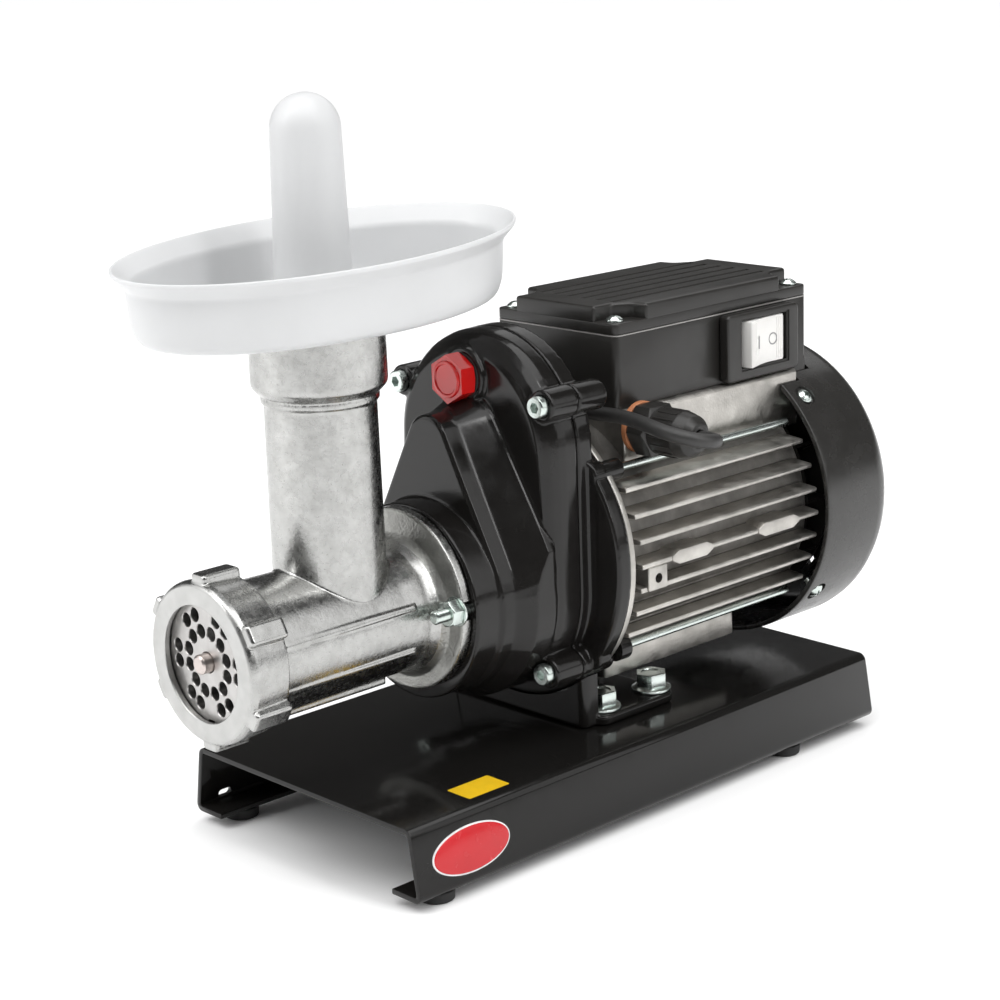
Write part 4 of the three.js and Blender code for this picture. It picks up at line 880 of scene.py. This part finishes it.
paint(cover, "rough_cast", lambda c, n: c.y < -54.9 and off_axis(c, HEAD_Z) < 38)
ride(cover, "gearbox_cover")

body = [
    stepped("case_rear", [(0.2, HEAD_Z, 50, LAYSHAFT_Z, 49.999), (9, HEAD_Z, 50.2, LAYSHAFT_Z, 50.199)],
            "black_paint"),
    lathe("motor_flange", [(5.4, 0), (5.4, 68, 1.2), (13.3, 68, 0.6), (13.3, 0)], "y", 0, MOTOR_Z,
          "black_paint", 128),
]
for sx in (1, -1):
    for sz in (1, -1):
        body.append(cylinder("ear", 5.4, 13.3, 6, "y", sx * 49, MOTOR_Z + sz * 41.1, "black_paint", 40))
for x, z, rear in CASE_BOLTS:
    body.append(lathe("ear", [(0.2, 0), (0.2, 7), (rear, 6.8, 1), (rear, 0)], "y", x, z, "black_paint", 48))
housing = fused("housing_casting", body, "black_paint", 0.75, 4)
ride(housing, "gearbox_housing")

for i, (x, z, rear) in enumerate(CASE_BOLTS):
    screw = lathe(f"case_screw_{i + 1}", [(-19.9, 0), (-19.9, 4.3, 0.2), (-19.4, 4.9, 0.4), (-13.9, 4.9),
                                          (-13.9, 2.9), (rear - 4, 2.9), (rear - 4, 0)], "y", x, z, "zinc",
                  64)
    socket = prism("socket", hexagon(4.4, x, z, 0.2 * i), -21, -16.6, "y", "zinc")
    boolean(screw, [socket], "DIFFERENCE")
    tidy(screw)
    ride(screw, f"gearbox_screw_{i + 1}")

oil = hexed("oil_cap", 19, -28.8, -20.4, "y", 0, OIL_Z, "red_plastic", "high", TURN / 12)
face = lathe("cap_face", [(-28, 0), (-28, 8.4), (-29.6, 8.1, 0.5), (-29.8, 6.9, 0.4), (-29.1, 6.4, 0.3),
                          (-29.1, 0)],
             "y", 0, OIL_Z, "red_plastic", 72)
stem = cylinder("cap_stem", -22, -11.5, 5, "y", 0, OIL_Z, "red_plastic", 32)
seal = lathe("cap_seal", [(-20.4, 5), (-20.4, 10.6, 0.3), (-19.8, 10.6), (-19.8, 5)], "y", 0, OIL_Z,
             "rubber", 48, closed=True)
oil = joined([oil, face, stem, seal], "oil_cap")
ride(oil, "oil_plug")


# ---- motor --------------------------------------------------------------------------------------
def fin_outline():
    """Round body with level fins whose tips lie on a circle, about (0, MOTOR_Z)."""
    half = [(58 * math.cos(t), 58 * math.sin(t)) for t in
            [math.radians(-90 + 45 * k / 12) for k in range(13)]]
    for i in range(7):
        dz = (i - 3) * 11
        tip = math.sqrt(68 ** 2 - (abs(dz) + 1.3) ** 2)
        low, high = dz - 2.1, dz + 2.1
        half.append((math.sqrt(58 ** 2 - low ** 2), low, 1.2))
        half += [(tip, dz - 1.1, 0.9), (tip, dz + 1.1, 0.9)]
        half.append((math.sqrt(58 ** 2 - high ** 2), high, 1.2))
        if i < 6:
            z = dz + 5.5
            half.append((math.sqrt(58 ** 2 - z ** 2), z))
    half += [(58 * math.cos(t), 58 * math.sin(t)) for t in
             [math.radians(45 + 45 * k / 12) for k in range(13)]]
    whole = half + [(-p[0], *p[1:]) for p in reversed(half[1:-1])]
    return [(p[0], p[1] + MOTOR_Z, *p[2:]) for p in whole]


fins = prism("fins", fin_outline(), 20.4, 140.4, "y", "frame_cast", 3, 30)
bevelled(fins, 0.5, 2, 60, 30)
tube_body = lathe("tube_body", [(13.8, 50), (13.8, 67, 0.8), (17.2, 67, 0.8), (17.4, 58.4, 1),
                                (142.8, 58, 0.6), (143, 50)], "y", 0, MOTOR_Z, "frame_cast", 128,
                  closed=True)
pad = prism("pad", [(-42, 149, 1), (42, 149, 1), (42, 176.1, 2), (-42, 176.1, 2)], 37.2, 156, "y",
            "frame_cast")
bevelled(pad, 0.8, 3)
foot_pad = bevelled(box("foot_pad", -30, 30, 33.8, 123, 50, 63.1, "frame_cast", 2), 0.6, 2)
block = bevelled(box("earth_block", 50, 68.2, 24, 36, 101.3, 112.2, "frame_cast", 1), 0.7, 3)
boolean(block, [cylinder("tap", 56, 70, 2.2, "x", 30, 106.6, "frame_cast", 32)], "DIFFERENCE")
tidy(block)
pieces = [fins, tube_body, foot_pad, block]
for y0, y1 in ((42, 63), (100, 123)):
    for side in (1, -1):
        face = [(y0 - 3, MOTOR_Z - 1), (y0 + 1.5, MOTOR_Z - 3.2, 1), (y1 - 1.5, MOTOR_Z - 3.2, 1),
                (y1 + 3, MOTOR_Z - 1), (y1 + 3, MOTOR_Z + 1), (y1 - 1.5, MOTOR_Z + 3.2, 1),
                (y0 + 1.5, MOTOR_Z + 3.2, 1), (y0 - 3, MOTOR_Z + 1)]
        small = prism("small_pad", face, side * 55, side * 68.5, "x", "frame_cast")
        pieces.append(bevelled(small, 0.5, 2))
entry = cylinder("entry", 30, 60, 5.6, "x", GLAND_Y, GLAND_Z, "frame_cast", 40)
rear_room = cylinder("rear_room", 142, 158, 55, "y", 0, MOTOR_Z, "frame_cast", 96)
boolean(pad, [entry, rear_room], "DIFFERENCE")
tidy(pad)
motor = joined(pieces + [pad], "finned_frame")
# painted shade: the body between the fins, nearer the axis than the fin roots, takes the darker frame
# material
paint(motor, "frame_valley_shade", lambda c, n: 20 < c.y < 141 and off_axis(c, MOTOR_Z) < 60.5)
ride(motor, "motor_frame")

number = 0
for sx in (1, -1):
    for sz in (1, -1):
        number += 1
        start = 9.8 if sz > 0 else 20.3
        x, z = sx * 49, MOTOR_Z + sz * 41.1
        tie_bar = lathe("tie_bar", [(start, 0), (start, 1.9), (139, 1.9), (139, 0)], "y", x, z, "zinc", 32)
        ends = (13.4, 25, 4.7) if sz > 0 else (20.2, 27.2, 5.6)
        sleeve = lathe("sleeve", [(ends[0], 1.8), (ends[0], ends[2]), (ends[1], ends[2], 0.8),
                                  (ends[1], 1.8)], "y", x, z,
                       "black_paint", 48, closed=True)
        tie_bar = joined([tie_bar, sleeve], f"tie_bar_{number}")
        ride(tie_bar, f"tie_rod_{number}")

shell = lathe("fan_shell", [
    (143.4, 69.3, 0.4), (143.4, 71.7, 0.6), (146.5, 71.7), (150, 71.6), (194.6, 71.6, 13.5), (194.6, 30),
    (195, 14, 0.5), (195, 0), (192, 0), (192, 54.4), (168, 54.4), (168, 56), (192, 56), (192, 69.2, 11.4),
    (147, 69.2),
], "y", 0, MOTOR_Z, "fan_plastic", 144, closed=True)
vents = []
for k in range(14):
    vent = prism("vent", [(20, MOTOR_Z - 2, 1.9), (53, MOTOR_Z - 2.6, 2.4), (53, MOTOR_Z + 2.6, 2.4),
                          (20, MOTOR_Z + 2, 1.9)],
                 186, 198, "y", "fan_plastic")
    vents.append(turned_by(vent, about(0, 0, MOTOR_Z, -(k + 0.5) * 360 / 14, "Y")))
gap = box("box_gap", -38.6, 38.6, 150, 169.4, 151, 250, "fan_plastic", 0)
pad_gap = box("pad_gap", -43, 43, 140, 156.7, 151, 250, "fan_plastic", 0)
SCREW_ANGLES = (46, 134, -38, -142)
dents = []
for angle in SCREW_ANGLES:
    dent = lathe("dent", [(69.9, 0), (69.9, 4.9, 0.6), (74, 6.4), (74, 0)], "x", 153, MOTOR_Z, "fan_plastic",
                 40)
    dents.append(turned_by(dent, about(0, 0, MOTOR_Z, -angle, "Y")))
boolean(shell, [joined(vents), gap, pad_gap, joined(dents)], "DIFFERENCE")
tidy(shell, 30)
ride(shell, "fan_cover")
for i, angle in enumerate(SCREW_ANGLES):
    outward = Matrix.Rotation(math.radians(90 - angle), 4, "Y")
    upright = Matrix.Translation((0, 0.153, MOTOR_Z / 1000)) @ outward
    screw = pan_screw(f"cover_screw_{i + 1}", 70.4, 3.9, 2.5, 6.5, upright)
    ride(screw, f"fan_cover_screw_{i + 1}")

# ---- terminal box and switch --------------------------------------------------------------------
terminal = box("terminal", -38, 38, 37.2, 168.4, 176.4, 209, "black_plastic", 3.5)
legs = box("legs", -38, 38, 156.3, 168.4, 152.6, 180, "black_plastic", 2.5)
boolean(terminal, [legs], "UNION")
boolean(terminal, [
    box("hollow", -35.4, 35.4, 39.8, 165.8, 179, 220, "black_plastic", 2),
    box("opening", 34, 40, 111, 149.4, 182.4, 204.4, "black_plastic"),
    cylinder("fan_room", 150, 175, 55, "y", 0, MOTOR_Z, "black_plastic", 96),
], "DIFFERENCE")
bevelled(terminal, 0.5, 2, 50)
ride(terminal, "terminal_box")
# a thin grey strip under the lid: painted highlight standing in for the bright reflection on the lid's lip
seam_highlight = box("box_seam_highlight", -38.1, 38.1, 37.1, 168.5, 208.75, 209.25, "seam_highlight_grey", 3.6)
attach(seam_highlight, "machine")

fan = [lathe("fan_hub", [(148, 7.9), (148, 12), (162, 11.4, 1), (164, 10, 0.6), (164, 7.9)], "y", 0, MOTOR_Z,
             "black_plastic", 64, closed=True),
       lathe("fan_disc", [(148, 8), (148, 53.6), (150.2, 53.6, 0.5), (150.2, 8)], "y", 0, MOTOR_Z,
             "black_plastic", 96, closed=True),
       lathe("fan_shroud", [(165.4, 27), (165.4, 53.6), (167, 53.6, 0.4), (167, 27, 0.4)], "y", 0, MOTOR_Z,
             "black_plastic", 96, closed=True)]
for k in range(12):
    blade = box("blade", 10, 53, 149, 167, MOTOR_Z - 0.8, MOTOR_Z + 0.8, "black_plastic")
    fan.append(turned_by(blade, about(0, 0, MOTOR_Z, k * 30, "Y")))
fan = joined(fan, "fan_wheel")
ride(fan, "cooling_fan")

LID_HALF, LID_FRONT, LID_REAR = 38, 37.2, 168.4
skirt = bevelled(box("skirt", -LID_HALF, LID_HALF, LID_FRONT, LID_REAR, 209.3, 214.4, "black_plastic", 3.5),
                 0.7, 3, 50)
side_line = [(25, LID_FRONT, 1.5), (25, LID_FRONT + 11, 5), (30, LID_FRONT + 18.6, 5),
             (LID_HALF, LID_FRONT + 20, 1.5), (LID_HALF, LID_REAR - 20, 1.5), (30, LID_REAR - 18.6, 5),
             (25, LID_REAR - 11, 5), (25, LID_REAR, 1.5)]
raised = prism("raised", side_line + [(-p[0], *p[1:]) for p in reversed(side_line)], 213, 221, "z",
               "black_plastic", 6)
bevelled(raised, 2.0, 4, 60)
grooves = []
for k in range(6):
    x = (k - 2.5) * 9
    grooves.append(prism("groove", [(x - 1.5, 221.4), (x - 0.6, 219.5, 0.4), (x + 0.6, 219.5, 0.4),
                                    (x + 1.5, 221.4)],
                         LID_FRONT + 14, LID_REAR - 14, "y", "black_plastic"))
boolean(raised, [joined(grooves)], "DIFFERENCE")
tidy(raised, 30)
lid = joined([skirt, raised], "lid")
ride(lid, "terminal_lid")
places = [(31.6, 43.6), (31.6, 162), (-31.6, 43.6), (-31.6, 162)]
for i, (x, y) in enumerate(places):
    screw = pan_screw(f"top_screw_{i + 1}", 214.45, 4, 2.6, 4.4, Matrix.Translation((x / 1000, y / 1000, 0)))
    ride(screw, f"lid_screw_{i + 1}")

bezel = prism("bezel", [(105, 177, 2.5), (155.4, 177, 3), (155.4, 208.4, 3), (105, 208.4, 2.5)], 38.2, 43.8,
              "x", "black_plastic", 6)
bevelled(bezel, 1.2, 4, 50)
inner = box("switch_core", 22, 39, 111.5, 148.9, 183, 203.9, "black_plastic")
pocket = box("pocket", 27.3, 46, 115.4, 147.4, 182.3, 204.7, "black_plastic")
step = bevelled(box("step", 42.9, 50, 114.4, 148.4, 181.3, 205.7, "black_plastic"), 0.4, 2)
boolean(bezel, [inner], "UNION")
boolean(bezel, [pocket, step], "DIFFERENCE")
tidy(bezel)
ride(bezel, "switch_body")

PIVOT = (43.8, 131.4)
line = [(-5, -13.4, 0.8), (1.3, -13.4, 0.7), (0.6, -9), (-0.3, -4.5), (-0.6, 0), (-0.3, 4.5), (0.6, 9),
        (1.3, 13.4, 0.7), (-5, 13.4, 0.8), (-9, 3, 1), (-9, -3, 1)]
key = prism("key", [(PIVOT[0] + p[0], PIVOT[1] + p[1], *p[2:]) for p in line], 182.7, 204.3, "z",
            "rocker_white", 6)
bevelled(key, 0.4, 2, 50)
extras = []
for end in (-1, 1):
    for k in range(4):
        y = PIVOT[1] + end * (12.6 - k * 1.25)
        extras.append(cylinder("ridge", 183.6, 203.4, 0.36, "z", PIVOT[0] + 1.12 - k * 0.2, y,
                               "rocker_white", 12))
key = joined([key] + extras, "rocker_key")
marks = [box("mark", PIVOT[0] - 0.5, PIVOT[0] + 0.35, PIVOT[1] - 6.2, PIVOT[1] - 5.6, 190.5, 196.5,
             "mark_grey"),
         lathe("mark_round", [(PIVOT[0] - 0.5, 2.3), (PIVOT[0] - 0.5, 2.9), (PIVOT[0] + 0.2, 2.9),
                              (PIVOT[0] + 0.2, 2.3)], "x", PIVOT[1] + 6, 193.5, "mark_grey", 40,
               closed=True)]
turned_by(marks[1], about(PIVOT[0], PIVOT[1] + 6, 193.5, -11.3, "Z"))
turn = about(PIVOT[0], PIVOT[1], 193.5, 8, "Z")
turned_by(key, turn)
ride(key, "switch_rocker")
marks = joined([turned_by(mark, turn) for mark in marks], "rocker_marks")
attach(marks, "rocker_body")
